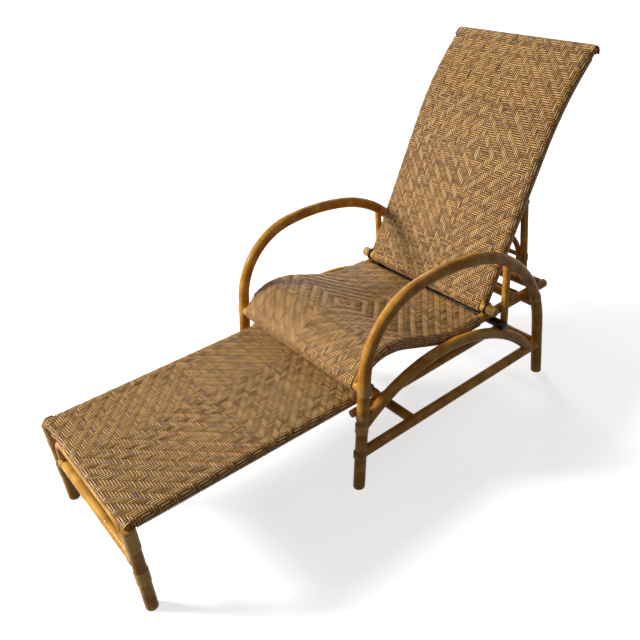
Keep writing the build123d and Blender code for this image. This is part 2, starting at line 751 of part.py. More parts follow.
# Footrest legs with their bow and crossbar
foot_leg_y = foot_front[0] - foot_leg_ahead
foot_leg_cut = {}
for side, sign in sides:
    x = sign * foot_leg_x
    ends = ((x, foot_leg_y, 0), (x, foot_leg_y, foot_front_z - saddle))
    leg_stock = rod(*ends, foot_leg_d)
    foot_leg_cut[side] = rod(*ends, foot_leg_d + 2 * touch)
    with BuildPart() as footrest_leg:
        add(leg_stock)
        add(foot_front_cut, mode=Mode.SUBTRACT)
        add(foot_rail_cut[side], mode=Mode.SUBTRACT)
    save(footrest_leg, f"footrest_leg_{side}")

foot_rod_place = (foot_leg_y, foot_rod_z)
with BuildPart() as footrest_crossbar:
    add(cross_rod(foot_rod_place, foot_leg_x, foot_rod_d))
    for cut in foot_leg_cut.values():
        add(cut, mode=Mode.SUBTRACT)
save(footrest_crossbar, "footrest_crossbar")

leg_plane = Plane(origin=(0, foot_leg_y, 0), x_dir=(1, 0, 0), z_dir=(0, -1, 0))
foot_bow_x = foot_leg_x - foot_leg_d / 2 - touch - foot_bow_d / 2
foot_bow_low = foot_rod_z + foot_rod_d / 2 + foot_bow_lift
foot_bow_top = foot_front_z - foot_r - touch - foot_bow_d / 2
foot_bow_shape = (leg_plane, foot_bow_x, foot_bow_low, foot_bow_top, foot_bow_r)
foot_bow_stock = bow_in_plane(*foot_bow_shape, foot_bow_d)
foot_bow_cut = bow_in_plane(*foot_bow_shape, foot_bow_d + 2 * touch)
with BuildPart() as footrest_bow:
    add(foot_bow_stock)
save(footrest_bow, "footrest_bow")

top_lash_z = foot_front_z - foot_r - touch - foot_lash_h / 2
under_rod_z = foot_rod_z - foot_rod_d / 2 - touch - foot_low_lash_h / 2
with BuildPart() as footrest_lashings:
    for side, sign in sides:
        for z, height in ((top_lash_z, foot_lash_h), (under_rod_z, foot_low_lash_h)):
            add(lashing((sign * foot_leg_x, foot_leg_y, z), (0, 0, 1), foot_leg_d, height))
    add(foot_bow_cut, mode=Mode.SUBTRACT)
save(footrest_lashings, "footrest_lashings")
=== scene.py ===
"""Rattan lounge chair with a pull-out footrest: bent poles, woven panels, cane windings and a stage."""

import json
import random
from math import asin, atan2, copysign, cos, hypot, pi, radians, sin, tan

import bpy
import numpy as np
from bpy.props import FloatProperty, FloatVectorProperty, IntProperty, PointerProperty
from mathutils import Matrix, Vector


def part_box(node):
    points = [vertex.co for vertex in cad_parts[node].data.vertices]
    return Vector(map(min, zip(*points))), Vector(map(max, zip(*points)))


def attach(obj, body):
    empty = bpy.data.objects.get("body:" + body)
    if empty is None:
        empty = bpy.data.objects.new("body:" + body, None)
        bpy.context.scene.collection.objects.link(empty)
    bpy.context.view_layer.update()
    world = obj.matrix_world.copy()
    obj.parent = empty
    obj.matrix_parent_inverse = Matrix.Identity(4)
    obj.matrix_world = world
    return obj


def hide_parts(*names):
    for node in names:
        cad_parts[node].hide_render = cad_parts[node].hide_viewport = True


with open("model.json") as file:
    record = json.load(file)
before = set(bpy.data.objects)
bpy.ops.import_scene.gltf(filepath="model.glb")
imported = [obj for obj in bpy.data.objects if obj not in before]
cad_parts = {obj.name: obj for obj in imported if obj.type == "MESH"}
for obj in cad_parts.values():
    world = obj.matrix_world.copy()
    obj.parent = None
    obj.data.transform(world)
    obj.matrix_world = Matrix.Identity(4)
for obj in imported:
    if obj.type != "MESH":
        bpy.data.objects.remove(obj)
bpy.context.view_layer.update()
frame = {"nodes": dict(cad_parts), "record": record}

bl_info = {
    "name": "Rattan lounge chair",
    "version": (1, 0, 0),
    "blender": (4, 5, 0),
    "location": "View3D > Sidebar > Rattan chair",
    "description": "Builds the poles, woven panels and cane windings of a rattan lounge chair",
    "category": "Add Mesh",
}

ACROSS = Vector((1, 0, 0))
REARWARD = Vector((0, 1, 0))
UPWARD = Vector((0, 0, 1))
SIDES = {"left": 1, "right": -1}  # which way each side lies along the X axis
MM = 0.001

# Fixed values of the poles
SLAT_GAP = 12 * MM                         # least distance between two slats of one node
RING_GAP = 0.5 * MM                        # least distance between two mesh rings of a pole
BEND_STEP = radians(7)                     # greatest turn between two mesh rings of a bend
RIPPLE = 0.008                             # share by which a pole's radius wavers along it
RIPPLE_WAVES = (0.047, 0.081)              # metres to a radian of its two waves
FIRST_KNOT = (0.15, 0.85)                  # range of a pole's first knot, in least knot spacings
LAST_KNOT = 15 * MM                        # least distance from a knot to the pole's far end
KNOT_RINGS = (-9, -4, -1.5, 0, 1.5, 4, 9)  # mesh rings about a knot, in millimetres
KNOT_BULGE = 5 * MM                        # reach of the swelling at a knot
KNOT_GROOVE = 0.8 * MM                     # reach of the groove in the middle of a knot
KNOT_SIGHT = 30 * MM                       # greatest distance to a knot that a pole's mesh keeps
LEVEL_REACH = 40 * MM                      # length over which the end of a leg turns level
PATTERN_SPAN = 50                          # range that sets the patterns of like pieces apart

# Fixed values of the woven strands and the wound cane
STRAND_WIDTHS = (0.98, 1.04)               # least and greatest width of a strand, in strand widths
FLOAT_ENDS = 0.8                           # rise of a strand at the two ends of a float, in lifts
FLOAT_MIDDLE = 1.1                         # rise of a strand in the middle of a float, in lifts
REAR_UNSHADED = 0.85                          # how much painted shade is taken off a strand's rear where it lies under others
PLAIN_STEPS = 4                            # mesh steps of a cross strand past the twill
CAP_DROP = 0.85                            # how far a strand goes down a rail's end, in sheet shifts
WINDING_GAP = 62 * MM                      # least distance between two windings of one node
WOUND_SIDES = 10                           # sides of the section of wound cane
TURN_STEPS = 36                            # mesh steps of one turn of wound cane
LOOP_SHARE = 0.85                          # thickness of the prop loops' cane, in binding widths
RUNNER_CANE = 16 * MM                      # height of the windings at the footrest's runners
BAR_CANE = 20 * MM                         # length of the windings at the ends of the crossbar
BAR_CANE_IN = 11 * MM                      # from the side of a footrest leg to their middle

# Corners of a strand's section: shares of its width and thickness, and how much painted shade they carry
# The crown is rounded, and the skirt under it, darkened with painted shade, reaches the next strand, so the
# weave is closed
STRAND_SECTION = ((-0.61, -0.38, 1.0), (-0.34, 0.24, 0.35), (0.0, 0.5, 0.0),
                  (0.34, 0.24, 0.35), (0.61, -0.38, 1.0), (0.0, -0.5, 1.0))


def linear(code):
    """An sRGB hex colour as linear red, green and blue."""
    parts = [int(code[i:i + 2], 16) / 255 for i in (1, 3, 5)]
    return [c / 12.92 if c <= 0.04045 else ((c + 0.055) / 1.055) ** 2.4 for c in parts]


def length_size(name, millimetres, description):
    """A length that a user can set, given in millimetres."""
    return FloatProperty(name=name, description=description, default=millimetres * MM, unit="LENGTH")


def angle_size(name, turn, description):
    """An angle that a user can set, given in degrees."""
    return FloatProperty(name=name, description=description, default=radians(turn), subtype="ANGLE")


def colour(name, code, description):
    """A colour that a user can set, given as sRGB hex."""
    return FloatVectorProperty(name=name, description=description, default=linear(code), subtype="COLOR")


class FrameSizes(bpy.types.PropertyGroup):
    """Lines of the bent poles of the chair's frame"""
    leg_lean: angle_size("Leg lean", 7.2, "Rearward lean of the front legs")
    leg_run: length_size("Leg run", 358, "Straight length of a front leg")
    front_bend_r: length_size("Front bend radius", 218, "Radius of the bend from leg to arm")
    front_bend: angle_size("Front bend", 77, "Turn of the bend from leg to arm")
    crown_r: length_size("Arm radius", 640, "Radius of the flat top of the arm")
    crown_bend: angle_size("Arm turn", 21, "Turn of the flat top of the arm")
    rear_bend_r: length_size("Rear bend radius", 377, "Radius of the bend from arm to rear leg")
    rear_bend: angle_size("Rear bend", 70, "Turn of the bend from arm to rear leg")
    brace_r: length_size("Brace radius", 500, "Radius of the arch braces")
    brace_front_z: length_size("Brace height", 198, "Height at which a brace leaves the front leg")
    brace_rear_in: length_size("Brace inset", 40, "From the rear leg to the end of the brace")
    seat_heading: angle_size("Seat front heading", 32, "Heading of the seat rails at the front rail")
    fall_r: length_size("Seat fall radius", 120, "Radius of the seat rails over the front edge")
    hump_r: length_size("Seat hump radius", 200, "Radius of the seat rails over the hump")
    hump_drop: angle_size("Seat hump turn", 21, "Turn of the seat rails over the hump")
    slope_run: length_size("Seat slope", 112, "Straight length of the seat's slope")
    dip_r: length_size("Seat dip radius", 350, "Radius of the seat rails in the dip")


class PanelSizes(bpy.types.PropertyGroup):
    """Lines of the back, the prop, the footrest and the woven panels"""
    back_lean: angle_size("Back lean", 28.6, "Lean of the back's side rails at the pivot")
    back_run: length_size("Back run", 468, "Straight length of the back's side rails")
    back_curve_r: length_size("Back radius", 808, "Radius of the back's upper curve")
    back_curve: angle_size("Back turn", 21, "Turn of the back's upper curve")
    back_foot: length_size("Back edge foot", 20, "From the pivot to the ends of the woven edges")
    pivot_wrap: angle_size("Pivot wrap", 150, "How far the weave goes round the pivot rod")
    back_centre: length_size("Back centre", 412, "From the pivot up to the centre of the back's diamonds")
    back_aside: length_size("Back centre aside", 38, "How far the back's diamonds lie to the left")
    seat_centre: length_size("Seat centre", 220, "From the front rail to the centre of the seat's diamonds")
    seat_aside: length_size("Seat centre aside", -8, "How far the seat's diamonds lie to the left")
    foot_centre: length_size("Footrest centre", 378, "From the front rail to the footrest's diamonds")
    foot_aside: length_size("Footrest centre aside", -32, "How far the footrest's diamonds lie to the left")
    back_top_wrap: angle_size("Back top wrap", 185, "How far the weave goes round the top rail")
    seat_front_wrap: angle_size("Seat front wrap", 150, "How far the weave wraps the seat's front rail")
    seat_rear_wrap: angle_size("Seat rear wrap", 120, "How far the weave wraps the seat's rear rail")
    seat_edge_fall: angle_size("Seat edge start", 22, "Turn of the seat rail that has no woven edge")
    foot_front_wrap: angle_size("Footrest front wrap", 105, "How far the weave goes round the front rail")
    foot_rear_wrap: angle_size("Footrest rear wrap", 90, "How far the weave goes round the rear bar")
    edge_turn: angle_size("Side wrap", 150, "How far the weave goes round the side rails")
    edge_inset: length_size("Side wrap inset", 18, "From the end rails to the ends of the side wraps")
    corner_round: length_size("Corner rounding", 9, "Rounding of the woven corners at the end rails")
    prop_crown: length_size("Prop bow crown", 120, "From the prop's hinge down to the bow's crown")
    prop_corner_r: length_size("Prop bow corner", 60, "Radius of the prop bow's corners")
    foot_corner_r: length_size("Footrest bow corner", 70, "Radius of the footrest bow's corners")


class CaneSizes(bpy.types.PropertyGroup):
    """Sizes of the poles' knots, the woven strands and the wound cane"""
    pole_sides: IntProperty(name="Pole sides", description="Sides of a pole's mesh", default=24, min=8)
    pole_step: length_size("Pole step", 18, "Length of a pole's mesh segments")
    knot_least: length_size("Least knot spacing", 350, "Least distance between two knots of a pole")
    knot_most: length_size("Most knot spacing", 620, "Greatest distance between two knots of a pole")
    knot_swell: length_size("Knot swell", 0.3, "How far a pole swells at a knot")
    end_round: length_size("End rounding", 2, "Rounding of the poles' sawn ends")
    weave_pitch: length_size("Weave pitch", 6.3, "Spacing of the woven strands")
    strand_width: length_size("Strand width", 5.3, "Width of a woven strand")
    strand_t: length_size("Strand thickness", 2.1, "Thickness of a woven strand")
    strand_lift: length_size("Strand lift", 0.8, "How far a strand rises where it goes over another")
    sheet_gap: length_size("Weave gap", 0.3, "Between a rail and the weave laid over it")
    float_count: IntProperty(name="Float", description="Strands that a strand passes over",
                             default=4, min=1)
    edge_weave: angle_size("Edge twill", 95, "How far the twill goes on round the side rails")
    wound_width: length_size("Binding width", 4.4, "Width of the cane wound round the joints")
    wound_t: length_size("Binding thickness", 1.8, "Thickness of the cane wound round the joints")
    wound_gap: length_size("Binding gap", 0.3, "Between the turns of wound cane")


class Colours(bpy.types.PropertyGroup):
    """Colours of the chair and its stage"""
    pole_light: colour("Pole light", "#eeb44c", "Lighter streaks of the lacquered poles")
    pole_dark: colour("Pole dark", "#b07022", "Darker streaks of the lacquered poles")
    # Painted shade: the bearer's two colours are near-black, for the shadow in the gap between back and
    # seat
    bearer_shade_light: colour("Bearer light", "#3b2413", "Lighter streaks of the dark bearer")
    bearer_shade_dark: colour("Bearer dark", "#1d1009", "Darker streaks of the dark bearer")
    knot: colour("Knot", "#4a280c", "Line across a pole at its knots")
    # Painted sheen: the long strands are lighter than the cross strands, for the light that catches the
    # weave along one direction
    strand_long: colour("Long strands", "#f2c076", "Strands that run along the panels")
    strand_cross: colour("Cross strands", "#e1a656", "Strands that run across the panels")
    strand_stain: colour("Strand stain", "#6e3f14", "Darker stretches of the woven strands")
    # Painted shade: the crevice colour darkens the strands' sides, undersides and stretches under other
    # strands, and the grooves of wound cane
    crevice_shade: colour("Crevices", "#1f0e04", "Stain and dirt between the strands")
    binding: colour("Binding", "#efbb62", "Cane wound round the joints")
    steel: colour("Black steel", "#1b1a19", "Painted steel of the hinge lugs")
    floor: colour("Floor", "#f2f1ef", "Plain pale floor")
    bounce: colour("Floor bounce", "#55514c", "Colour of the light that the floor throws back")


class ChairSettings(bpy.types.PropertyGroup):
    """All settings of the rattan chair"""
    poles: PointerProperty(type=FrameSizes, name="Frame", description="Lines of the frame")
    panels: PointerProperty(type=PanelSizes, name="Panels", description="Lines of the panels")
    cane: PointerProperty(type=CaneSizes, name="Cane", description="Sizes of knots, strands and cane")
    colours: PointerProperty(type=Colours, name="Colours", description="Colours of the chair")


def settings():
    """The settings of the open scene."""
    return bpy.context.scene.rattan_chair


# Lines in a plane: a station is (u, v, heading), and a heading is measured from v towards u

def advance(station, size, turn):
    """The station after a straight run (length, 0) or a tangent arc (radius, turn)."""
    u, v, a = station
    if turn == 0:
        return (u + size * sin(a), v + size * cos(a), a)
    side = copysign(1, turn)
    b = a + turn
    return (u + side * size * (cos(a) - cos(b)), v + side * size * (sin(b) - sin(a)), b)


def run_length(size, turn):
    return size if turn == 0 else size * abs(turn)


def line_length(runs):
    return sum(run_length(size, turn) for size, turn in runs)


def run_at(runs, distance):
    """The run that holds a distance along the runs."""
    for size, turn in runs:
        if distance < run_length(size, turn):
            break
        distance -= run_length(size, turn)
    return size, turn


def station_at(start, runs, distance):
    """The station at a distance along the runs."""
    station = start
    for size, turn in runs:
        length = run_length(size, turn)
        if distance <= length:
            share = max(distance, 0) / length
            return advance(station, size * share, 0) if turn == 0 else advance(station, size, turn * share)
        distance -= length
        station = advance(station, size, turn)
    return station


def beside(station, shift):
    """The station at a distance to the left of another."""
    u, v, a = station
    return (u - shift * cos(a), v + shift * sin(a), a)


def runs_beside(runs, shift):
    """The runs of a line that keeps a distance to the left of another."""
    return [(size, 0) if turn == 0 else (size + copysign(shift, turn), turn) for size, turn in runs]


def bow_runs(rise, corner, half):
    """Runs of a bow that goes up, across and down again, with rounded corners."""
    return [(rise, 0), (corner, pi / 2), (2 * (half - corner), 0), (corner, pi / 2), (rise, 0)]


def point_in(plane, station):
    """The point of a station in a plane (origin, u, v)."""
    origin, u, v = plane
    return origin + u * station[0] + v * station[1]


def way_in(plane, station):
    """The direction of a line at a station in a plane."""
    origin, u, v = plane
    return u * sin(station[2]) + v * cos(station[2])


# Places from the frame

def centre_of(node):
    lo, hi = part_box(node)
    return (lo + hi) / 2


def pole_x(node):
    """Where a pole that lies in a side of the chair stands across it."""
    lo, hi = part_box(node)
    return (lo.x + hi.x) / 2


def pole_r(node):
    """The radius of a pole that lies in a side of the chair."""
    lo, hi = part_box(node)
    return (hi.x - lo.x) / 2


def foot_place(mount):
    """Where a leg stands on the floor."""
    for item in frame["record"]["mounts"]:
        if item["name"] == mount:
            return Vector(item["pos_m"])
    raise ValueError(f"the frame has no mount {mount}")


def body_of(node):
    for body, members in frame["record"]["behaviour"]["bodies"].items():
        if node in members:
            return body
    raise ValueError(f"no body carries {node}")


def corner_points(piece):
    """The corners of a piece's mesh, one in a row."""
    points = np.empty(3 * len(piece.data.vertices))
    piece.data.vertices.foreach_get("co", points)
    return points.reshape(-1, 3)


def node_points(node):
    return corner_points(frame["nodes"][node])


def split_points(points, axis, least_gap):
    """Groups of points that stand apart along an axis, in order."""
    order = points[np.argsort(points[:, axis])]
    cuts = np.where(np.diff(order[:, axis]) > least_gap)[0] + 1
    return np.split(order, cuts)


def side_plane(x):
    """The plane (origin, u, v) that holds a side of the chair."""
    return (Vector((x, 0, 0)), REARWARD, UPWARD)


# Lines of the bent poles

def bow_line(side):
    """Start and bends of a side bow, from the foot of its front leg on."""
    sizes = settings().poles
    bends = [(sizes.leg_run, 0), (sizes.front_bend_r, sizes.front_bend),
             (sizes.crown_r, sizes.crown_bend), (sizes.rear_bend_r, sizes.rear_bend)]
    return (foot_place(f"front_foot_{side}").y, 0, sizes.leg_lean), bends


def rear_leg_way():
    """The direction of the rear legs at the height of the seat rails."""
    lo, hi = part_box("rail_lashings")
    start, bends = bow_line("left")
    length = line_length(bends)
    samples = 400
    rear_half = [station_at(start, bends, length * (1 - k / samples)) for k in range(samples // 2)]
    nearest = min(rear_half, key=lambda station: abs(station[1] - (lo.z + hi.z) / 2))
    return Vector((0, sin(nearest[2]), cos(nearest[2])))


def seat_line():
    """Start and curved runs of the seat rails."""
    sizes = settings().poles
    front = centre_of("seat_front_rail")
    curve = [(sizes.fall_r, pi / 2 - sizes.seat_heading), (sizes.hump_r, sizes.hump_drop),
             (sizes.slope_run, 0), (sizes.dip_r, -sizes.hump_drop)]
    return (front.y, front.z, sizes.seat_heading), curve


def back_line():
    """Start and runs of the back's side rails."""
    sizes = settings().panels
    pivot = centre_of("pivot_rod")
    runs = [(sizes.back_run, 0), (sizes.back_curve_r, sizes.back_curve)]
    return (pivot.y, pivot.z, sizes.back_lean), runs


# Finished pieces

def finish_piece(piece, node, material):
    """Gives a piece its material and puts it in the place of a node of the frame."""
    piece.data.materials.clear()
    piece.data.materials.append(material)
    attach(piece, body_of(node))
    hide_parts(node)


def finish_pole(pole, node, finish=None):
    """Puts a pole in the place of a node, in lacquered rattan where no other finish is given."""
    finish_piece(pole, node, finish or lacquered_rattan())


def deselect():
    bpy.ops.object.select_all(action="DESELECT")


def face_outward():
    """Turns the faces of the active piece outwards and leaves it in object mode."""
    bpy.ops.object.mode_set(mode="EDIT")
    bpy.ops.mesh.select_all(action="SELECT")
    bpy.ops.mesh.normals_make_consistent(inside=False)
    bpy.ops.object.mode_set(mode="OBJECT")


def select_ring(piece, ring):
    """Selects one ring of a pole's mesh and leaves the piece in edit mode."""
    mesh = piece.data
    flags = np.arange(len(mesh.vertices)) // settings().cane.pole_sides == ring
    bpy.ops.object.mode_set(mode="OBJECT")
    mesh.edges.foreach_set("select", np.zeros(len(mesh.edges), dtype=bool))
    mesh.polygons.foreach_set("select", np.zeros(len(mesh.polygons), dtype=bool))
    mesh.vertices.foreach_set("select", flags)
    bpy.ops.object.mode_set(mode="EDIT")


def set_point_values(mesh, name, kind, values):
    attribute = mesh.attributes.new(name, kind, "POINT")
    field = "vector" if kind == "FLOAT_VECTOR" else "value"
    attribute.data.foreach_set(field, np.asarray(values, dtype=np.float32).ravel())


def knot_places(chooser, length):
    """Distances of the knots along a pole."""
    cane = settings().cane
    places = []
    reach = chooser.uniform(*FIRST_KNOT) * cane.knot_least
    while reach < length - LAST_KNOT:
        places.append(reach)
        reach += chooser.uniform(cane.knot_least, cane.knot_most)
    return places


def ring_places(runs, knots):
    """Distances of a pole's mesh rings: even steps, close ones at the knots and at the ends."""
    cane = settings().cane
    length = line_length(runs)
    ends = []
    even = []
    reach = 0
    for size, turn in runs:
        span = run_length(size, turn)
        step = cane.pole_step if turn == 0 else min(cane.pole_step, size * BEND_STEP)
        count = max(1, round(span / step))
        even += [reach + span * i / count for i in range(1, count)]
        ends.append(reach)
        reach += span
    ends.append(length)
    rounding = [0.3 * cane.end_round, cane.end_round]
    close = [s for d in rounding for s in (d, length - d)]
    close += [k + d * MM for k in knots for d in KNOT_RINGS]
    places = list(ends)
    for s in sorted(close) + sorted(even):
        if 0 < s < length and min(abs(s - other) for other in places) > RING_GAP:
            places.append(s)
    return sorted(places)


def draw_tube(name, plane, start, runs, radius, rings):
    """Extrudes and spins a circle along runs in a plane, with a mesh ring at each of the distances."""
    origin, u, v = plane
    sides = settings().cane.pole_sides
    deselect()
    turn_up = way_in(plane, start).to_track_quat("Z", "Y").to_euler()
    bpy.ops.mesh.primitive_circle_add(vertices=sides, radius=radius, fill_type="NOTHING",
                                      location=point_in(plane, start), rotation=turn_up)
    tube = bpy.context.object
    tube.name = name
    tube.data.name = name
    bpy.ops.object.transform_apply(location=True, rotation=True, scale=True)
    bpy.ops.object.mode_set(mode="EDIT")
    bpy.ops.mesh.select_all(action="SELECT")
    for near, far in zip(rings, rings[1:]):
        size, turn = run_at(runs, (near + far) / 2)
        here = station_at(start, runs, near)
        if turn == 0:
            step = way_in(plane, here) * (far - near)
            bpy.ops.mesh.extrude_region_move(TRANSFORM_OT_translate={"value": step})
        else:
            side = copysign(1, turn)
            centre = point_in(plane, beside(here, -side * size))
            bpy.ops.mesh.spin(steps=1, angle=side * (far - near) / size, center=centre, axis=u.cross(v))
    bpy.ops.object.mode_set(mode="OBJECT")
    return tube


def knot_distances(knots, reach):
    """From each distance along a pole to its nearest knot."""
    away = np.full(len(reach), 1.0)
    for k in knots:
        away = np.where(np.abs(reach - k) < np.abs(away), reach - k, away)
    return away


def thickness_along(chooser, reach, knot_away, radius, closed):
    """A pole's thickness at its mesh rings, as a share: a slow ripple, swollen knots, rounded ends."""
    cane = settings().cane
    scale = np.ones(len(reach))
    for wave in RIPPLE_WAVES:
        scale += RIPPLE * np.sin(reach / wave + chooser.uniform(0, 2 * pi))
    scale += cane.knot_swell / radius * np.exp(-(knot_away / KNOT_BULGE) ** 2)
    scale -= 0.5 * cane.knot_swell / radius * np.exp(-(knot_away / KNOT_GROOVE) ** 2)
    if not closed:
        end_away = np.minimum(reach, reach[-1] - reach) / cane.end_round
        drop = 1 - np.sqrt(np.clip(end_away * (2 - end_away), 0, 1))
        scale -= np.where(end_away < 1, drop, 0) * cane.end_round / radius
    return scale


def level_off(co, centres, ways, reach):
    """Tilts the mesh rings at a pole's ends, so that the ends lie level."""
    fade = np.clip(1 - np.minimum(reach, reach[-1] - reach) / LEVEL_REACH, 0, 1)
    tilt = (co[:, :, 2] - centres[:, None, 2]) * (fade / ways[:, 2])[:, None]
    return co - tilt[:, :, None] * ways[:, None]


def mark_pole(pole, chooser, reach, knot_away, radius):
    """Keeps a pole's straightened shape, its distances to the knots and its tone for the material."""
    sides = settings().cane.pole_sides
    angles = 2 * pi * np.arange(sides) / sides
    straight = np.empty((len(reach), sides, 3))
    straight[:, :, 0] = radius * np.cos(angles)
    straight[:, :, 1] = radius * np.sin(angles)
    straight[:, :, 2] = reach[:, None] + chooser.uniform(0, PATTERN_SPAN)
    knot_mm = np.clip(np.abs(knot_away), 0, KNOT_SIGHT) / MM
    set_point_values(pole.data, "straight", "FLOAT_VECTOR", straight)
    set_point_values(pole.data, "knot", "FLOAT", np.repeat(knot_mm, sides))
    set_point_values(pole.data, "tone", "FLOAT", np.full(len(reach) * sides, chooser.uniform(-1, 1)))


def grow_pole(name, plane, start, runs, radius, level_ends=False, closed=False):
    """Grows a rattan pole along runs in a plane, with knots, and leaves it as a new object."""
    chooser = random.Random(name)
    knots = [] if closed else knot_places(chooser, line_length(runs))
    rings = ring_places(runs, knots)
    pole = draw_tube(name, plane, start, runs, radius, rings)
    reach = np.array(rings)
    knot_away = knot_distances(knots, reach)
    stations = [station_at(start, runs, s) for s in rings]
    centres = np.array([point_in(plane, station) for station in stations])
    co = corner_points(pole).reshape(len(rings), -1, 3)
    scale = thickness_along(chooser, reach, knot_away, radius, closed)
    co = centres[:, None] + (co - centres[:, None]) * scale[:, None, None]
    if level_ends:
        co = level_off(co, centres, np.array([way_in(plane, station) for station in stations]), reach)
    pole.data.vertices.foreach_set("co", co.ravel())
    mark_pole(pole, chooser, reach, knot_away, radius)
    bpy.ops.object.mode_set(mode="EDIT")
    bpy.ops.mesh.select_mode(type="VERT")
    if closed:
        bpy.ops.mesh.select_all(action="SELECT")
        bpy.ops.mesh.remove_doubles(threshold=0.05 * MM)
    else:
        for ring in (0, len(rings) - 1):
            select_ring(pole, ring)
            bpy.ops.mesh.edge_face_add()
    face_outward()
    bpy.ops.object.shade_smooth_by_angle(angle=radians(40))
    return pole


def straight_pole(name, first, last, radius):
    """A straight pole between two points."""
    way = last - first
    v = way.normalized()
    u = ACROSS if abs(v.x) < 0.5 else REARWARD
    u = (u - v * u.dot(v)).normalized()
    return grow_pole(name, (first, u, v), (0, 0, 0), [(way.length, 0)], radius)


def pole_in_box(name, lo, hi, longer=0.0):
    """A straight pole that fills a box along its longest side."""
    size = hi - lo
    axis = max(range(3), key=lambda i: size[i])
    radius = (sum(size) - size[axis]) / 4
    first = (lo + hi) / 2
    last = first.copy()
    first[axis] = lo[axis] - longer
    last[axis] = hi[axis] + longer
    return straight_pole(name, first, last, radius)


def replace_pole(node, longer=0.0, finish=None):
    """A straight pole in the place of a node that lies along an axis."""
    pole = pole_in_box(f"{node}_pole", *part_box(node), longer)
    finish_pole(pole, node, finish)


def replace_slats(node):
    """Straight poles in the place of a node that holds several of them, one behind another."""
    for i, points in enumerate(split_points(node_points(node), 1, SLAT_GAP), 1):
        pole = pole_in_box(f"{node}_pole_{i}", Vector(points.min(0)), Vector(points.max(0)))
        finish_pole(pole, node)


# Materials

def put(tree, kind, inputs=None, **options):
    """Adds a node with its settings, its input values and its links."""
    new = tree.nodes.new(kind)
    for key, value in options.items():
        setattr(new, key, value)
    for socket, value in (inputs or {}).items():
        if isinstance(value, bpy.types.NodeSocket):
            tree.links.new(value, new.inputs[socket])
        else:
            new.inputs[socket].default_value = value
    return new


def new_material(name):
    """A new material with its empty node tree, or the one that is there already and None."""
    if name in bpy.data.materials:
        return bpy.data.materials[name], None
    material = bpy.data.materials.new(name)
    material.use_nodes = True
    material.node_tree.nodes.clear()
    return material, material.node_tree


def rgba(values):
    return (*values, 1)


def rattan_tree(tree, light, dark, knot, gloss):
    """A rattan pole: fine streaks along it, a cloudy tone and dark thin lines at its knots."""
    streak_width = 1.6 * MM
    cloud_size = 45 * MM
    drawn_out = 0.03
    tone_share, streak_share = 0.09, 0.45
    along = put(tree, "ShaderNodeAttribute", attribute_name="straight")
    knot_away = put(tree, "ShaderNodeAttribute", attribute_name="knot")
    tone = put(tree, "ShaderNodeAttribute", attribute_name="tone")
    drawn = put(tree, "ShaderNodeMapping", {"Vector": along.outputs["Vector"], "Scale": (1, 1, drawn_out)})
    streak = put(tree, "ShaderNodeTexNoise",
                 {"Vector": drawn.outputs["Vector"], "Scale": 1 / streak_width,
                  "Detail": 4, "Roughness": 0.6})
    cloud = put(tree, "ShaderNodeTexNoise",
                {"Vector": along.outputs["Vector"], "Scale": 1 / cloud_size,
                 "Detail": 3, "Roughness": 0.55})
    toned = put(tree, "ShaderNodeMath",
                {0: tone.outputs["Fac"], 1: tone_share, 2: cloud.outputs["Fac"]}, operation="MULTIPLY_ADD")
    blend = put(tree, "ShaderNodeMath",
                {0: streak.outputs["Fac"], 1: streak_share, 2: toned.outputs[0]}, operation="MULTIPLY_ADD")
    share = put(tree, "ShaderNodeMapRange",
                {"Value": blend.outputs[0], "From Min": 0.5, "From Max": 0.95})
    base = put(tree, "ShaderNodeMix", {0: share.outputs["Result"], 6: rgba(light), 7: rgba(dark)},
               data_type="RGBA")
    line = put(tree, "ShaderNodeMapRange",
               {"Value": knot_away.outputs["Fac"], "From Min": 0.4, "From Max": 2.2,
                "To Min": 0.5, "To Max": 0})
    skin = put(tree, "ShaderNodeMix", {0: line.outputs["Result"], 6: base.outputs[2], 7: rgba(knot)},
               data_type="RGBA")
    shine = put(tree, "ShaderNodeMapRange",
                {"Value": cloud.outputs["Fac"], "From Min": 0.3, "From Max": 0.7,
                 "To Min": gloss - 0.08, "To Max": gloss + 0.1})
    relief = put(tree, "ShaderNodeBump",
                 {"Height": streak.outputs["Fac"], "Strength": 0.25, "Distance": 0.4 * MM})
    shader = put(tree, "ShaderNodeBsdfPrincipled",
                 {"Base Color": skin.outputs[2], "Roughness": shine.outputs["Result"],
                  "Normal": relief.outputs["Normal"], "IOR": 1.5, "Specular IOR Level": 0.05,
                  "Coat Weight": 0.14, "Coat Roughness": 0.12})
    put(tree, "ShaderNodeOutputMaterial", {"Surface": shader.outputs["BSDF"]})


def lacquered_rattan():
    """Honey-brown lacquer over a peeled pole: soft long highlights and a streaked, cloudy tone."""
    material, tree = new_material("lacquered_rattan")
    if tree:
        tint = settings().colours
        rattan_tree(tree, tint.pole_light, tint.pole_dark, tint.knot, 0.36)
    return material


def bearer_shade_rattan():
    """Painted shade on the bearer under the pivot: near-black rattan that stands for the shadow in the gap
    between back and seat.
    """
    material, tree = new_material("dark_stained_rattan")
    if tree:
        tint = settings().colours
        rattan_tree(tree, tint.bearer_shade_light, tint.bearer_shade_dark, tint.bearer_shade_dark, 0.3)
    return material


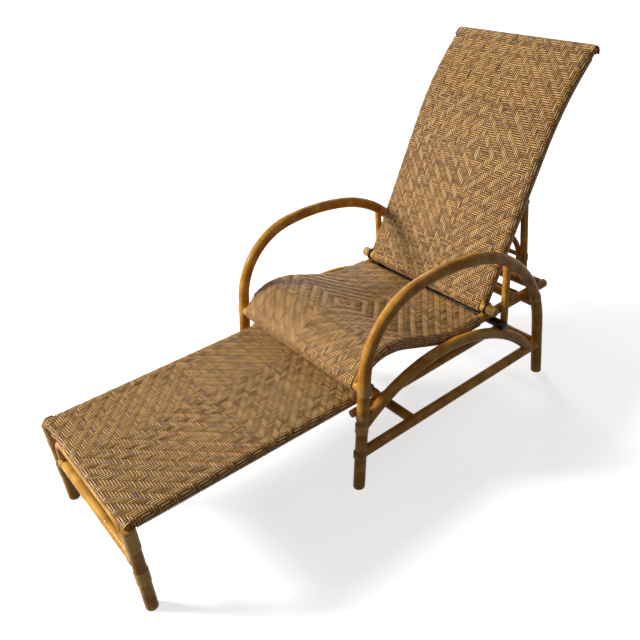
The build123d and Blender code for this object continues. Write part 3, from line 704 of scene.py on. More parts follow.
def cane_tree(tree, skin, stain, gloss, groove_shade):
    """Split cane: a glossy, finely streaked skin, stretches of stain, and painted shade in the crevices at
    its rims.
    """
    streak_width = 0.9 * MM
    stain_length = 38 * MM
    drawn_out = 0.06
    tone_share, streak_share = 0.17, 0.35
    along = put(tree, "ShaderNodeAttribute", attribute_name="straight")
    tone = put(tree, "ShaderNodeAttribute", attribute_name="tone")
    drawn = put(tree, "ShaderNodeMapping", {"Vector": along.outputs["Vector"], "Scale": (1, 1, drawn_out)})
    streak = put(tree, "ShaderNodeTexNoise",
                 {"Vector": drawn.outputs["Vector"], "Scale": 1 / streak_width,
                  "Detail": 3, "Roughness": 0.6})
    patch = put(tree, "ShaderNodeTexNoise",
                {"Vector": along.outputs["Vector"], "Scale": 1 / stain_length,
                 "Detail": 4, "Roughness": 0.65})
    toned = put(tree, "ShaderNodeMath",
                {0: tone.outputs["Fac"], 1: tone_share, 2: patch.outputs["Fac"]}, operation="MULTIPLY_ADD")
    blend = put(tree, "ShaderNodeMath",
                {0: streak.outputs["Fac"], 1: streak_share, 2: toned.outputs[0]}, operation="MULTIPLY_ADD")
    share = put(tree, "ShaderNodeMapRange",
                {"Value": blend.outputs[0], "From Min": 0.52, "From Max": 1.0})
    base = put(tree, "ShaderNodeMix", {0: share.outputs["Result"], 6: rgba(skin), 7: rgba(stain)},
               data_type="RGBA")
    # Painted shade: the rim mask darkens the skin towards the crevice colour, as far as the groove share
    # allows
    rim = put(tree, "ShaderNodeAttribute", attribute_name="rim")
    depth = put(tree, "ShaderNodeMapRange",
                {"Value": rim.outputs["Fac"], "From Min": 0.22, "From Max": 0.7,
                 "To Min": 0, "To Max": groove_shade})
    wear_and_shade = put(tree, "ShaderNodeMix",
               {0: depth.outputs["Result"], 6: base.outputs[2], 7: rgba(settings().colours.crevice_shade)},
               data_type="RGBA")
    relief = put(tree, "ShaderNodeBump",
                 {"Height": streak.outputs["Fac"], "Strength": 0.3, "Distance": 0.25 * MM})
    shader = put(tree, "ShaderNodeBsdfPrincipled",
                 {"Base Color": wear_and_shade.outputs[2], "Roughness": gloss, "Normal": relief.outputs["Normal"],
                  "IOR": 1.5, "Specular IOR Level": 0.2, "Coat Weight": 0.1, "Coat Roughness": 0.2})
    put(tree, "ShaderNodeOutputMaterial", {"Surface": shader.outputs["BSDF"]})


def long_cane():
    """Cane strands along a panel, painted lighter than the cross strands: a painted sheen for the light
    that the long strands catch.
    """
    material, tree = new_material("split_cane_long")
    if tree:
        tint = settings().colours
        cane_tree(tree, tint.strand_long, tint.strand_stain, 0.38, 0.98)
    return material


def cross_cane():
    """Cane strands across a panel, browner than the long ones: painted shade for the sheen that they miss.
    """
    material, tree = new_material("split_cane_cross")
    if tree:
        tint = settings().colours
        cane_tree(tree, tint.strand_cross, tint.strand_stain, 0.38, 0.98)
    return material


def binding_cane():
    """Cane wound round the joints: golden and a little glossier than the weave."""
    material, tree = new_material("binding_cane")
    if tree:
        tint = settings().colours
        # Painted shade: the grooves between the turns are painted darker, less than in the weave
        cane_tree(tree, tint.binding, tint.strand_stain, 0.34, 0.6)
    return material


def black_steel():
    """Black painted steel: a dull sheen with fine grit and a few specks of wear."""
    material, tree = new_material("black_painted_steel")
    if tree:
        grit = 1.2 * MM
        place = put(tree, "ShaderNodeTexCoord")
        grain = put(tree, "ShaderNodeTexNoise",
                    {"Vector": place.outputs["Object"], "Scale": 1 / grit, "Detail": 4})
        wear_and_shade = put(tree, "ShaderNodeMapRange",
                   {"Value": grain.outputs["Fac"], "From Min": 0.62, "From Max": 0.75})
        paint = settings().colours.steel
        bare = [c * 4 + 0.02 for c in paint]
        base = put(tree, "ShaderNodeMix",
                   {0: wear_and_shade.outputs["Result"], 6: rgba(paint), 7: rgba(bare)}, data_type="RGBA")
        relief = put(tree, "ShaderNodeBump",
                     {"Height": grain.outputs["Fac"], "Strength": 0.2, "Distance": 0.2 * MM})
        shader = put(tree, "ShaderNodeBsdfPrincipled",
                     {"Base Color": base.outputs[2], "Roughness": 0.45,
                      "Normal": relief.outputs["Normal"]})
        put(tree, "ShaderNodeOutputMaterial", {"Surface": shader.outputs["BSDF"]})
    return material


def background_rays(tree):
    """1 for the rays that show the background: straight to the camera, mirrored or through glass."""
    ray = put(tree, "ShaderNodeLightPath")
    seen = put(tree, "ShaderNodeMath",
               {0: ray.outputs["Is Camera Ray"], 1: ray.outputs["Is Glossy Ray"]}, operation="MAXIMUM")
    seen_through = put(tree, "ShaderNodeMath",
                       {0: seen.outputs[0], 1: ray.outputs["Is Transmission Ray"]}, operation="MAXIMUM")
    return seen_through.outputs[0]


def pale_floor():
    """A plain matt floor whose glow grows away from the chair, so that it is white outside its shadow."""
    material, tree = new_material("pale_floor")
    if tree:
        seen = background_rays(tree)
        lit = put(tree, "ShaderNodeBsdfDiffuse", {"Color": rgba(settings().colours.floor)})
        place = put(tree, "ShaderNodeTexCoord")
        away = put(tree, "ShaderNodeVectorMath", {0: place.outputs["Object"]}, operation="LENGTH")
        fade = put(tree, "ShaderNodeMapRange",
                   {"Value": away.outputs["Value"], "From Min": 0.9, "From Max": 2.6,
                    "To Min": 0.68, "To Max": 1.0})
        glow = put(tree, "ShaderNodeEmission", {"Color": (1, 1, 1, 1), "Strength": fade.outputs["Result"]})
        both = put(tree, "ShaderNodeAddShader", {0: lit.outputs[0], 1: glow.outputs[0]})
        dull = put(tree, "ShaderNodeBsdfDiffuse", {"Color": rgba(settings().colours.bounce)})
        pick = put(tree, "ShaderNodeMixShader", {0: seen, 1: dull.outputs[0], 2: both.outputs[0]})
        put(tree, "ShaderNodeOutputMaterial", {"Surface": pick.outputs[0]})
    return material


# Woven panels

class StrandStock:
    """Collects the strands of one piece."""

    def __init__(self, name, width, thickness):
        self.name, self.width, self.thickness = name, width, thickness
        self.points, self.faces, self.straight, self.tone, self.rim = [], [], [], [], []
        self.total = 0
        self.chooser = random.Random(name)

    def add(self, centres, sides, normals, dips):
        """Adds a strand along its centres; its dips say where it lies under other strands."""
        count = len(centres)
        corners = len(STRAND_SECTION)
        offs, ups, section_shade = np.array(STRAND_SECTION).T
        offs = offs * (self.width * self.chooser.uniform(*STRAND_WIDTHS))
        ups = ups * self.thickness
        points = np.stack([centres + sides * off + normals * up for off, up in zip(offs, ups)], axis=1)
        base = corners * np.arange(count - 1)[:, None]
        quads = [np.concatenate([base + k, base + (k + 1) % corners, base + corners + (k + 1) % corners,
                                 base + corners + k], axis=1) for k in range(corners)]
        self.faces += (np.concatenate(quads) + self.total).tolist()
        last = corners * (count - 1)
        self.faces.append([self.total + k for k in reversed(range(corners))])
        self.faces.append([self.total + last + k for k in range(corners)])
        self.points.append(points.reshape(-1, 3))
        self.total += count * corners
        reach = np.concatenate([[0], np.cumsum(np.linalg.norm(np.diff(centres, axis=0), axis=1))])
        spot = self.chooser.uniform(0, PATTERN_SPAN)
        straight = np.empty((count, corners, 3))
        straight[:, :, 0] = offs + spot
        straight[:, :, 1] = ups
        straight[:, :, 2] = reach[:, None] + spot
        self.straight.append(straight.reshape(-1, 3))
        # Painted shade: a strand is painted dark where it dips under others and along its section's sides
        # and underside; the rear of a dipped stretch keeps less of it
        under = np.asarray(dips, dtype=float)[:, None]
        rims = np.maximum(section_shade[None], under)
        rims[:, -1:] = 1 - REAR_UNSHADED * under
        self.rim.append(rims.ravel())
        self.tone.append(np.full(count * corners, self.chooser.uniform(-1, 1)))

    def piece(self, node, material):
        """Makes the strands one piece in the place of a woven node."""
        mesh = bpy.data.meshes.new(self.name)
        mesh.from_pydata(np.concatenate(self.points), [], self.faces)
        set_point_values(mesh, "straight", "FLOAT_VECTOR", np.concatenate(self.straight))
        set_point_values(mesh, "tone", "FLOAT", np.concatenate(self.tone))
        set_point_values(mesh, "rim", "FLOAT", np.concatenate(self.rim))
        woven = bpy.data.objects.new(self.name, mesh)
        bpy.context.scene.collection.objects.link(woven)
        deselect()
        woven.select_set(True)
        bpy.context.view_layer.objects.active = woven
        face_outward()
        bpy.ops.object.shade_smooth()
        finish_piece(woven, node, material)


class WovenPanel:
    """A woven panel: the line of its sheet, its diamond's centre and its reach to the sides."""

    def __init__(self, start, runs, rail_r, half, centre, edges, end_halves):
        cane = settings().cane
        self.pitch = cane.weave_pitch
        self.lift = cane.strand_lift
        self.floats = cane.float_count
        self.half = half
        self.edges = edges
        self.end_halves = end_halves
        self.centre_x = centre[0]
        self.shift = sheet_shift(rail_r)
        line = runs_beside(runs, self.shift)
        length = line_length(line)
        first_row = -int((centre[1] - self.pitch / 2) / self.pitch)
        last_row = int((length - centre[1] - self.pitch / 2) / self.pitch)
        self.rows = range(first_row, last_row + 1)
        self.places = {j: centre[1] + j * self.pitch for j in self.rows}
        self.stations = {j: station_at(beside(start, self.shift), line, s) for j, s in self.places.items()}

    def columns(self, reach):
        """Numbers of the columns that lie within a reach to both sides."""
        first = -int((reach + self.centre_x) / self.pitch)
        last = int((reach - self.centre_x) / self.pitch)
        return range(first, last + 1)

    def zone(self, j):
        """Which part a row lies in: before the woven edges, along them or after them."""
        return 0 if self.places[j] < self.edges[0] else 2 if self.places[j] > self.edges[1] else 1

    def reach(self, zone, turn):
        """How far the weave reaches from the middle along its surface, for a turn round the side rails."""
        return (self.end_halves[0], self.half + self.shift * turn, self.end_halves[1])[zone]

    def across(self, i):
        return self.centre_x + i * self.pitch

    def rise(self, i, j):
        """Height of a column's long strand where it meets a row; the cross strand lies as far below."""
        step = (abs(i) + abs(j)) % (2 * self.floats)
        place = step % self.floats
        arch = FLOAT_ENDS if place in (0, self.floats - 1) else FLOAT_MIDDLE
        return self.lift * arch * (1 if step < self.floats else -1)

    def spot(self, j, reach, wraps):
        """Point, normal and sideways direction on the sheet at a row and a reach to the side."""
        u, v, a = self.stations[j]
        normal = np.array([0, -cos(a), sin(a)])
        turn = copysign(max(abs(reach) - self.half, 0) / self.shift, reach) if wraps else 0
        x = reach if turn == 0 else copysign(self.half, reach) + self.shift * sin(turn)
        point = np.array([x, u, v]) + normal * (self.shift * (cos(turn) - 1))
        outward = normal * cos(turn) + np.array([sin(turn), 0, 0])
        return point, outward, np.array([cos(turn), 0, 0]) - normal * sin(turn)

    def along(self, j):
        a = self.stations[j][2]
        return np.array([0, sin(a), cos(a)])


def sheet_shift(rail_r):
    """From a rail's axis to the middle of the strands laid over it."""
    cane = settings().cane
    return rail_r + cane.sheet_gap + cane.strand_lift + cane.strand_t / 2


def weave_long_strands(node, panel):
    """Strands that run along a panel, and on round the side rails as far as the twill goes."""
    cane = settings().cane
    stock = StrandStock(f"{node}_long_strands", cane.strand_width, cane.strand_t)
    widest = max(panel.reach(zone, cane.edge_weave) for zone in range(3))
    for i in panel.columns(widest):
        x = panel.across(i)
        flat = abs(x) <= panel.half
        stretches = {}
        for j in panel.rows:
            zone = panel.zone(j)
            if abs(x) <= panel.reach(zone, cane.edge_weave):
                stretches.setdefault(0 if flat else zone, []).append(j)
        for zone, rows in stretches.items():
            if len(rows) < 2:
                continue
            lifts = np.array([panel.rise(i, j) for j in rows])
            spots = [panel.spot(j, x, zone == 1) for j in rows]
            points, normals, sides = (np.array(part) for part in zip(*spots))
            stock.add(points + normals * lifts[:, None], sides, normals, lifts < 0)
    stock.piece(node, long_cane())


def corner_cap(panel, j, furthest, up):
    """Centres and normals of a cross strand where it rounds the left end of an end rail and goes down."""
    corner_r = settings().panels.corner_round
    turns = [radians(angle) for angle in range(0, 91, 18)]
    offs = [corner_r * sin(a) for a in turns] + [corner_r + settings().cane.strand_t / 2]
    drops = [corner_r * (1 - cos(a)) for a in turns] + [CAP_DROP * panel.shift]
    normals = [up * cos(a) + np.array([sin(a), 0, 0]) for a in turns + [pi / 2]]
    middle = panel.stations[j]
    corner = np.array([furthest - corner_r, middle[0], middle[1]])
    centres = [corner + np.array([off, 0, 0]) - up * drop for off, drop in zip(offs, drops)]
    return np.array(centres), np.array(normals)


def twill_row(panel, j, furthest):
    """Reaches and rises of a cross strand: the twill, and plain ends that go on to the furthest reach."""
    columns = panel.columns(panel.reach(panel.zone(j), settings().cane.edge_weave))
    row = [(panel.across(i), -panel.rise(i, j)) for i in columns]
    for side in (-1, 1):
        near = abs(row[0 if side < 0 else -1][0])
        steps = range(1, PLAIN_STEPS + 1) if furthest > near else ()
        plain = [(side * (near + (furthest - near) * k / PLAIN_STEPS), 0) for k in steps]
        row = plain[::-1] + row if side < 0 else row + plain
    return row


def weave_cross_strands(node, panel):
    """Strands that run across a panel and end round its side rails, or over the ends of its end rails."""
    cane = settings().cane
    stock = StrandStock(f"{node}_cross_strands", cane.strand_width, cane.strand_t)
    mirror = np.array([-1, 1, 1])
    for j in panel.rows:
        zone = panel.zone(j)
        wraps = zone == 1
        furthest = panel.reach(zone, settings().panels.edge_turn)
        row = twill_row(panel, j, furthest)
        lifts = np.array([lift for reach, lift in row])
        spots = [panel.spot(j, reach, wraps) for reach, lift in row]
        points, normals, sides = (np.array(part) for part in zip(*spots))
        points = points + normals * lifts[:, None]
        dips = lifts < 0
        if not wraps and furthest > panel.half:
            kept = np.abs(points[:, 0]) < furthest - settings().panels.corner_round
            cap, cap_normals = corner_cap(panel, j, furthest, normals[0])
            above = np.zeros(len(cap))
            points = np.concatenate([cap[::-1] * mirror, points[kept], cap])
            normals = np.concatenate([cap_normals[::-1] * mirror, normals[kept], cap_normals])
            dips = np.concatenate([above, dips[kept], above])
        ways = np.repeat(panel.along(j)[None], len(points), 0)
        stock.add(points, ways, normals, dips)
    stock.piece(node, cross_cane())


def weave_panel(node, panel):
    """Weaves a panel in a twill of nested diamonds."""
    weave_long_strands(node, panel)
    weave_cross_strands(node, panel)


# Wound cane

def mark_winding(piece, radius):
    """Keeps the unwound shape of wound cane, its tone, and its depth between the turns as a mask of painted
    shade for the material.
    """
    wound_t = settings().cane.wound_t
    co = corner_points(piece)
    chooser = random.Random(piece.name)
    away = np.hypot(co[:, 0], co[:, 1])
    around = np.arctan2(co[:, 1], co[:, 0]) * radius + chooser.uniform(0, PATTERN_SPAN)
    # Painted shade: the deeper a corner lies between two turns, the darker it is painted
    sunk = (radius + wound_t - away) / (0.5 * wound_t)
    set_point_values(piece.data, "straight", "FLOAT_VECTOR", np.stack([away, co[:, 2], around], axis=1))
    set_point_values(piece.data, "tone", "FLOAT", np.full(len(co), chooser.uniform(-1, 1)))
    set_point_values(piece.data, "rim", "FLOAT", np.clip(sunk, 0, 1))


def wind(name, centre, way, radius, height):
    """Cane wound round a pole, turn beside turn, made by turning its section in a screw."""
    cane = settings().cane
    pitch = cane.wound_width + cane.wound_gap
    turns = max(2, round(height / pitch))
    deselect()
    bpy.ops.mesh.primitive_circle_add(vertices=WOUND_SIDES, radius=0.5, fill_type="NOTHING",
                                      rotation=(pi / 2, 0, 0))
    piece = bpy.context.object
    piece.name = name
    piece.data.name = name
    piece.scale = (cane.wound_t, cane.wound_width, 1)
    bpy.ops.object.transform_apply(location=False, rotation=True, scale=True)
    bpy.ops.object.mode_set(mode="EDIT")
    bpy.ops.mesh.select_all(action="SELECT")
    inner = radius + cane.wound_t / 2
    bpy.ops.transform.translate(value=(inner, 0, -turns * pitch / 2))
    bpy.ops.object.mode_set(mode="OBJECT")
    screw = piece.modifiers.new("turns", "SCREW")
    screw.axis = "Z"
    screw.screw_offset = pitch
    screw.iterations = turns
    screw.steps = TURN_STEPS
    screw.render_steps = TURN_STEPS
    screw.use_normal_calculate = True
    bpy.ops.object.modifier_apply(modifier="turns")
    bpy.ops.object.mode_set(mode="EDIT")
    bpy.ops.mesh.select_all(action="SELECT")
    bpy.ops.mesh.fill_holes(sides=0)
    face_outward()
    mark_winding(piece, radius)
    piece.matrix_world = Matrix.Translation(centre) @ way.to_track_quat("Z", "Y").to_matrix().to_4x4()
    bpy.ops.object.transform_apply(location=True, rotation=True, scale=True)
    bpy.ops.object.shade_smooth()
    return piece


def wind_node(node, way, radius):
    """Windings in the place of a node's lashings, one for each of them."""
    number = 0
    for side_points in split_points(node_points(node), 0, WINDING_GAP):
        for points in split_points(side_points, 2, WINDING_GAP):
            number += 1
            centre = Vector((points.min(0) + points.max(0)) / 2)
            depths = points @ np.array(way)
            piece = wind(f"{node}_cane_{number}", centre, way, radius, depths.max() - depths.min())
            finish_piece(piece, node, binding_cane())


def bind(name, node, centre, way, radius, height):
    """A short winding on a pole of a node's body, where the frame has no lashing of its own."""
    piece = wind(name, centre, way, radius, height)
    piece.data.materials.append(binding_cane())
    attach(piece, body_of(node))


# Steps that build the chair

class RATTAN_OT_side_bows(bpy.types.Operator):
    """Bends the two side bows: front leg, arm and rear leg in one pole"""
    bl_idname = "rattan.side_bows"
    bl_label = "Side bows"

    def execute(self, context):
        for side in SIDES:
            node = f"side_bow_{side}"
            start, bends = bow_line(side)
            low = station_at(start, bends, line_length(bends))
            runs = bends + [(-low[1] / cos(low[2]), 0)]
            plane = side_plane(foot_place(f"front_foot_{side}").x)
            bow = grow_pole(f"{node}_pole", plane, start, runs, pole_r(node), level_ends=True)
            finish_pole(bow, node)
        return {"FINISHED"}


class RATTAN_OT_arch_braces(bpy.types.Operator):
    """Bends the two arch braces from the front legs to the rear ends of the stretchers"""
    bl_idname = "rattan.arch_braces"
    bl_label = "Arch braces"

    def execute(self, context):
        sizes = settings().poles
        low_rail = centre_of("rear_low_rail")
        rear = (low_rail.y - sizes.brace_rear_in, low_rail.z)
        for side in SIDES:
            node = f"arch_brace_{side}"
            foot = foot_place(f"front_foot_{side}")
            front = (foot.y + sizes.brace_front_z * tan(sizes.leg_lean), sizes.brace_front_z)
            chord = hypot(rear[0] - front[0], rear[1] - front[1])
            half_turn = asin(chord / 2 / sizes.brace_r)
            heading = atan2(rear[0] - front[0], rear[1] - front[1]) - half_turn
            runs = [(sizes.brace_r, 2 * half_turn)]
            brace = grow_pole(f"{node}_pole", side_plane(foot.x), (*front, heading), runs, pole_r(node))
            finish_pole(brace, node)
        return {"FINISHED"}


class RATTAN_OT_seat_rails(bpy.types.Operator):
    """Bends the two seat rails, which run on behind the seat"""
    bl_idname = "rattan.seat_rails"
    bl_label = "Seat rails"

    def execute(self, context):
        start, curve = seat_line()
        bent = station_at(start, curve, line_length(curve))
        for side in SIDES:
            node = f"seat_rail_{side}"
            lo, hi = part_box(node)
            runs = curve + [(hi.y - bent[0], 0)]
            rail = grow_pole(f"{node}_pole", side_plane(pole_x(node)), start, runs, pole_r(node))
            finish_pole(rail, node)
        return {"FINISHED"}


class RATTAN_OT_frame_poles(bpy.types.Operator):
    """Cuts the straight poles of the chair's frame: stretchers, cross rails, slats, uprights and runners"""
    bl_idname = "rattan.frame_poles"
    bl_label = "Straight frame poles"

    def execute(self, context):
        for node in ("seat_front_rail", "seat_rear_rail", "front_stop_rod", "rear_stop_rod",
                     "rear_cross_rail", "rear_low_rail", "cross_stretcher"):
            replace_pole(node)
        # Painted shade: the bearer is painted near-black for the shadow in the gap under the pivot
        replace_pole("seat_bearer", finish=bearer_shade_rattan())
        for side in SIDES:
            for name in ("lower_stretcher", "rail_upright", "footrest_runner"):
                replace_pole(f"{name}_{side}")
        replace_slats("seat_slats")
        return {"FINISHED"}


class RATTAN_OT_back_poles(bpy.types.Operator):
    """Bends the back's side rails and cuts its pivot rod, top rail and slats"""
    bl_idname = "rattan.back_poles"
    bl_label = "Back poles"

    def execute(self, context):
        start, runs = back_line()
        for side in SIDES:
            node = f"back_rail_{side}"
            rail = grow_pole(f"{node}_pole", side_plane(pole_x(node)), start, runs, pole_r(node))
            finish_pole(rail, node)
        replace_pole("pivot_rod")
        replace_pole("back_top_rail", -settings().panels.corner_round)
        replace_pole("prop_slat")
        replace_slats("back_slats")
        return {"FINISHED"}


class RATTAN_OT_prop(bpy.types.Operator):
    """Builds the prop: top bar, poles, bow, cross rod and foot bar"""
    bl_idname = "rattan.prop"
    bl_label = "Prop"

    def execute(self, context):
        sizes = settings().panels
        hinge = centre_of("prop_top_bar")
        foot = centre_of("prop_foot_bar")
        up = (hinge - foot).normalized()
        for node in ("prop_top_bar", "prop_foot_bar", "prop_cross_rod"):
            replace_pole(node)
        for side in SIDES:
            node = f"prop_pole_{side}"
            shift = ACROSS * pole_x(node)
            pole = straight_pole(f"{node}_pole", foot + shift, hinge + shift, pole_r(node))
            finish_pole(pole, node)
        lo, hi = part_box("prop_bow")
        depths = node_points("prop_bow") @ np.array(ACROSS.cross(up))
        radius = (depths.max() - depths.min()) / 2
        half = hi.x - radius
        rise = (hinge - foot).length - sizes.prop_crown - sizes.prop_corner_r
        runs = bow_runs(rise, sizes.prop_corner_r, half)
        bow = grow_pole("prop_bow_pole", (foot, ACROSS, up), (-half, 0, 0), runs, radius)
        finish_pole(bow, "prop_bow")
        return {"FINISHED"}


class RATTAN_OT_footrest(bpy.types.Operator):
    """Builds the footrest's rails, bars, slats, legs and bow"""
    bl_idname = "rattan.footrest"
    bl_label = "Footrest"

    def execute(self, context):
        sizes = settings().panels
        front = centre_of("footrest_front_rail")
        rear = centre_of("footrest_rear_bar")
        replace_pole("footrest_front_rail", -sizes.corner_round)
        replace_pole("footrest_rear_bar")
        replace_pole("footrest_crossbar")
        replace_slats("footrest_slats")
        for side in SIDES:
            node = f"footrest_rail_{side}"
            shift = ACROSS * pole_x(node)
            rail = straight_pole(f"{node}_pole", front + shift, rear + shift, pole_r(node))
            finish_pole(rail, node)
            node = f"footrest_leg_{side}"
            lo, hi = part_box(node)
            middle = (lo + hi) / 2
            low_end = Vector((middle.x, middle.y, lo.z))
            high_end = Vector((middle.x, middle.y, front.z))
            leg = straight_pole(f"{node}_pole", low_end, high_end, pole_r(node))
            finish_pole(leg, node)
        lo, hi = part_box("footrest_bow")
        radius = (hi.y - lo.y) / 2
        half = hi.x - radius
        rise = hi.z - radius - sizes.foot_corner_r - lo.z
        runs = bow_runs(rise, sizes.foot_corner_r, half)
        plane = (Vector((0, (lo.y + hi.y) / 2, lo.z)), ACROSS, UPWARD)
        bow = grow_pole("footrest_bow_pole", plane, (-half, 0, 0), runs, radius)
        finish_pole(bow, "footrest_bow")
        return {"FINISHED"}


class RATTAN_OT_seat_weave(bpy.types.Operator):
    """Weaves the seat over its rails"""
    bl_idname = "rattan.seat_weave"
    bl_label = "Woven seat"

    def execute(self, context):
        sizes = settings().panels
        start, curve = seat_line()
        rear = centre_of("seat_rear_rail")
        bent = station_at(start, curve, line_length(curve))
        rail_r = pole_r("seat_rail_left")
        half = pole_x("seat_rail_left")
        shift = sheet_shift(rail_r)
        fold = (start[0], start[1], start[2] - sizes.seat_front_wrap)
        seat = [(0, sizes.seat_front_wrap)] + curve + [(rear.y - bent[0], 0)]
        front = shift * sizes.seat_front_wrap
        edges = (front + (settings().poles.fall_r + shift) * sizes.seat_edge_fall,
                 line_length(runs_beside(seat, shift)))
        centre = (sizes.seat_aside, front + sizes.seat_centre)
        runs = seat + [(0, sizes.seat_rear_wrap)]
        panel = WovenPanel(fold, runs, rail_r, half, centre, edges, (half, half - rail_r))
        weave_panel("seat_weave", panel)
        return {"FINISHED"}


class RATTAN_OT_back_weave(bpy.types.Operator):
    """Weaves the back over its rails"""
    bl_idname = "rattan.back_weave"
    bl_label = "Woven back"

    def execute(self, context):
        sizes = settings().panels
        start, rails = back_line()
        rail_r = pole_r("back_rail_left")
        half = pole_x("back_rail_left")
        shift = sheet_shift(rail_r)
        fold = (start[0], start[1], start[2] - sizes.pivot_wrap)
        back = [(0, sizes.pivot_wrap)] + rails
        foot = shift * sizes.pivot_wrap
        edges = (foot + sizes.back_foot, line_length(runs_beside(back, shift)) - sizes.edge_inset)
        centre = (sizes.back_aside, foot + sizes.back_centre)
        runs = back + [(0, sizes.back_top_wrap)]
        panel = WovenPanel(fold, runs, rail_r, half, centre, edges, (half, half + rail_r))
        weave_panel("back_weave", panel)
        return {"FINISHED"}


class RATTAN_OT_footrest_weave(bpy.types.Operator):
    """Weaves the footrest over its rails"""
    bl_idname = "rattan.footrest_weave"
    bl_label = "Woven footrest"

    def execute(self, context):
        sizes = settings().panels
        front = centre_of("footrest_front_rail")
        span = centre_of("footrest_rear_bar") - front
        rail_r = pole_r("footrest_rail_left")
        half = pole_x("footrest_rail_left")
        heading = atan2(span.y, span.z)
        fold = (front.y, front.z, heading - sizes.foot_front_wrap)
        runs = [(0, sizes.foot_front_wrap), (span.length, 0), (0, sizes.foot_rear_wrap)]
        turn = sheet_shift(rail_r) * sizes.foot_front_wrap
        edges = (turn + sizes.edge_inset, turn + span.length - sizes.edge_inset)
        centre = (sizes.foot_aside, turn + sizes.foot_centre)
        panel = WovenPanel(fold, runs, rail_r, half, centre, edges, (half + rail_r, half))
        weave_panel("footrest_weave", panel)
        return {"FINISHED"}


class RATTAN_OT_windings(bpy.types.Operator):
    """Winds cane round the joints of the legs, the prop, the footrest and the pivot rod"""
    bl_idname = "rattan.windings"
    bl_label = "Cane windings"

    def execute(self, context):
        lean = settings().poles.leg_lean
        leg_way = Vector((0, sin(lean), cos(lean)))
        bow_r = pole_r("side_bow_left")
        for node in ("seat_lashings", "brace_lashings", "stretcher_lashings"):
            wind_node(node, leg_way, bow_r)
        wind_node("rail_lashings", rear_leg_way(), bow_r)
        up = (centre_of("prop_top_bar") - centre_of("prop_foot_bar")).normalized()
        wind_node("prop_lashings", up, pole_r("prop_pole_left"))
        wind_node("footrest_lashings", UPWARD, pole_r("footrest_leg_left"))
        lo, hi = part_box("pivot_rod")
        wind_node("rod_windings", ACROSS, (hi.z - lo.z) / 2)
        lo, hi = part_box("footrest_crossbar")
        bar_r = (hi.z - lo.z) / 2
        bar_z = (lo.z + hi.z) / 2
        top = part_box("footrest_lashings")[1].z
        rail_z = centre_of("footrest_front_rail").z
        for side, sign in SIDES.items():
            foot = foot_place(f"front_foot_{side}")
            runner = centre_of(f"footrest_runner_{side}")
            on_leg = Vector((foot.x, foot.y + runner.z * tan(lean), runner.z))
            bind(f"runner_cane_{side}", f"side_bow_{side}", on_leg, leg_way, bow_r, RUNNER_CANE)
            leg = centre_of(f"footrest_leg_{side}")
            leg_r = pole_r(f"footrest_leg_{side}")
            by_leg = Vector((leg.x - sign * (leg_r + BAR_CANE_IN), leg.y, bar_z))
            bind(f"crossbar_cane_{side}", "footrest_crossbar", by_leg, ACROSS, bar_r, BAR_CANE)
            at_top = Vector((leg.x, leg.y, (top + rail_z) / 2))
            bind(f"leg_top_cane_{side}", "footrest_crossbar", at_top, UPWARD, leg_r, rail_z - top)
        return {"FINISHED"}


class RATTAN_OT_prop_loops(bpy.types.Operator):
    """Ties the prop's top bar to its slat with loops of cane"""
    bl_idname = "rattan.prop_loops"
    bl_label = "Prop loops"

    def execute(self, context):
        cane = settings().cane
        slat = centre_of("prop_slat")
        bar = centre_of("prop_top_bar")
        lo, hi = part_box("prop_top_bar")
        loop_r = (hi.z - lo.z) / 2 + cane.wound_t
        span = bar - slat
        v = span.normalized()
        u = v.cross(ACROSS)
        for side_points in split_points(node_points("prop_loops"), 0, WINDING_GAP):
            x_lo, x_hi = side_points[:, 0].min(), side_points[:, 0].max()
            side = "left" if x_lo > 0 else "right"
            count = int((x_hi - x_lo) / (cane.wound_width + cane.wound_gap))
            turns = []
            for k in range(count):
                x = x_lo + (k + 0.5) * (x_hi - x_lo) / count
                plane = (Vector((x, slat.y, slat.z)), u, v)
                runs = [(span.length, 0), (loop_r, pi), (span.length, 0), (loop_r, pi)]
                turn = grow_pole(f"prop_loop_{side}_{k + 1}", plane, (-loop_r, 0, 0), runs,
                                 cane.wound_width / 2 * LOOP_SHARE, closed=True)
                turns.append(turn)
            deselect()
            for turn in turns:
                turn.select_set(True)
            bpy.context.view_layer.objects.active = turns[0]
            bpy.ops.object.join()
            loops = bpy.context.object
            loops.name = f"prop_loops_{side}_cane"
            finish_piece(loops, "prop_loops", binding_cane())
        return {"FINISHED"}


class RATTAN_OT_hinge_lugs(bpy.types.Operator):
    """Paints the steel hinge lugs black"""
    bl_idname = "rattan.hinge_lugs"
    bl_label = "Hinge lugs"

    def execute(self, context):
        for side in SIDES:
            mesh = frame["nodes"][f"hinge_lug_{side}"].data
            mesh.materials.clear()
            mesh.materials.append(black_steel())
        return {"FINISHED"}


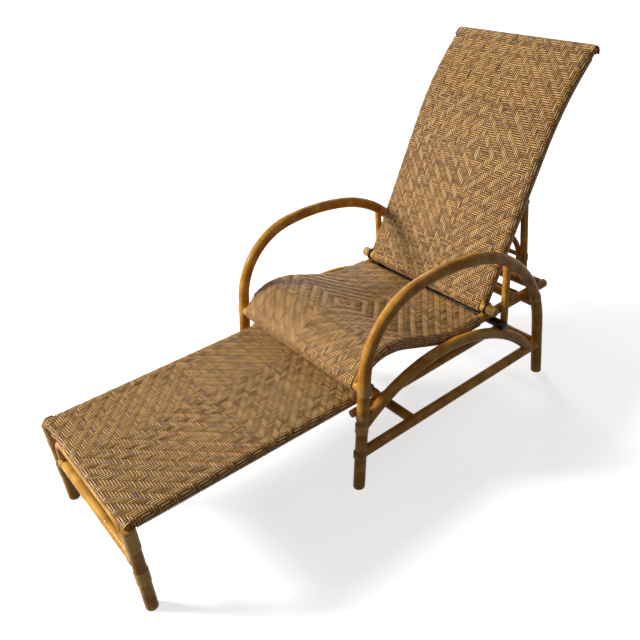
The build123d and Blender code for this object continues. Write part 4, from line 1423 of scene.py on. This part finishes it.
class RATTAN_OT_stage(bpy.types.Operator):
    """Sets the floor, the studio lights and the camera"""
    bl_idname = "rattan.stage"
    bl_label = "Stage"

    def execute(self, context):
        scene = context.scene
        scene.view_settings.view_transform = "Standard"
        deselect()
        bpy.ops.mesh.primitive_plane_add(size=80, location=(0, 0, 0))
        floor = context.object
        floor.name = "floor"
        floor.data.materials.append(pale_floor())

        world = bpy.data.worlds.new("studio")
        scene.world = world
        world.use_nodes = True
        tree = world.node_tree
        tree.nodes.clear()
        ambient, white = 0.12, 1.0
        strength = put(tree, "ShaderNodeMapRange",
                       {"Value": background_rays(tree), "To Min": ambient, "To Max": white})
        sky = put(tree, "ShaderNodeBackground",
                  {"Color": (1, 1, 1, 1), "Strength": strength.outputs["Result"]})
        put(tree, "ShaderNodeOutputWorld", {"Surface": sky.outputs[0]})

        aim = Vector((0, 0, 0.35))
        lamps = (("key", (-4.0, -4.8, 3.7), 560, 1.5),
                 ("sheen", (-2.4, 1.7, 2.0), 24, 0.9),
                 ("fill", (1.8, -2.6, 2.4), 5, 2.0))
        for name, place, power, size in lamps:
            bpy.ops.object.light_add(type="AREA", location=place)
            lamp = context.object
            lamp.name = name
            lamp.data.energy = power
            lamp.data.size = size
            lamp.rotation_euler = (aim - Vector(place)).to_track_quat("-Z", "Y").to_euler()

        stand = (1.4306, -1.0521, 1.4766)
        yaw, pitch, roll = radians(54.8074), radians(32.4673), radians(-5.6435)
        forward = Vector((-sin(yaw) * cos(pitch), cos(yaw) * cos(pitch), -sin(pitch)))
        right = forward.cross(UPWARD).normalized()
        up = right.cross(forward)
        x_axis = right * cos(roll) + up * sin(roll)
        y_axis = up * cos(roll) - right * sin(roll)
        turn = Matrix((x_axis, y_axis, -forward)).transposed()
        bpy.ops.object.camera_add(location=stand, rotation=turn.to_euler())
        camera = context.object
        camera.data.sensor_width = 36
        camera.data.lens = 41.006
        scene.camera = camera
        return {"FINISHED"}


STEPS = (RATTAN_OT_side_bows, RATTAN_OT_arch_braces, RATTAN_OT_seat_rails, RATTAN_OT_frame_poles,
         RATTAN_OT_back_poles, RATTAN_OT_prop, RATTAN_OT_footrest, RATTAN_OT_seat_weave,
         RATTAN_OT_back_weave, RATTAN_OT_footrest_weave, RATTAN_OT_windings, RATTAN_OT_prop_loops,
         RATTAN_OT_hinge_lugs, RATTAN_OT_stage)


class RATTAN_PT_chair(bpy.types.Panel):
    """Lists the steps that build the chair"""
    bl_idname = "RATTAN_PT_chair"
    bl_label = "Rattan chair"
    bl_space_type = "VIEW_3D"
    bl_region_type = "UI"
    bl_category = "Rattan chair"

    def draw(self, context):
        for step in STEPS:
            self.layout.operator(step.bl_idname)


CLASSES = (FrameSizes, PanelSizes, CaneSizes, Colours, ChairSettings, *STEPS, RATTAN_PT_chair)


def register():
    for item in CLASSES:
        bpy.utils.register_class(item)
    bpy.types.Scene.rattan_chair = PointerProperty(type=ChairSettings)


def unregister():
    del bpy.types.Scene.rattan_chair
    for item in reversed(CLASSES):
        bpy.utils.unregister_class(item)


def main():
    register()
    for step in STEPS:
        group, name = step.bl_idname.split(".")
        getattr(getattr(bpy.ops, group), name)()


if __name__ == "__main__":
    main()
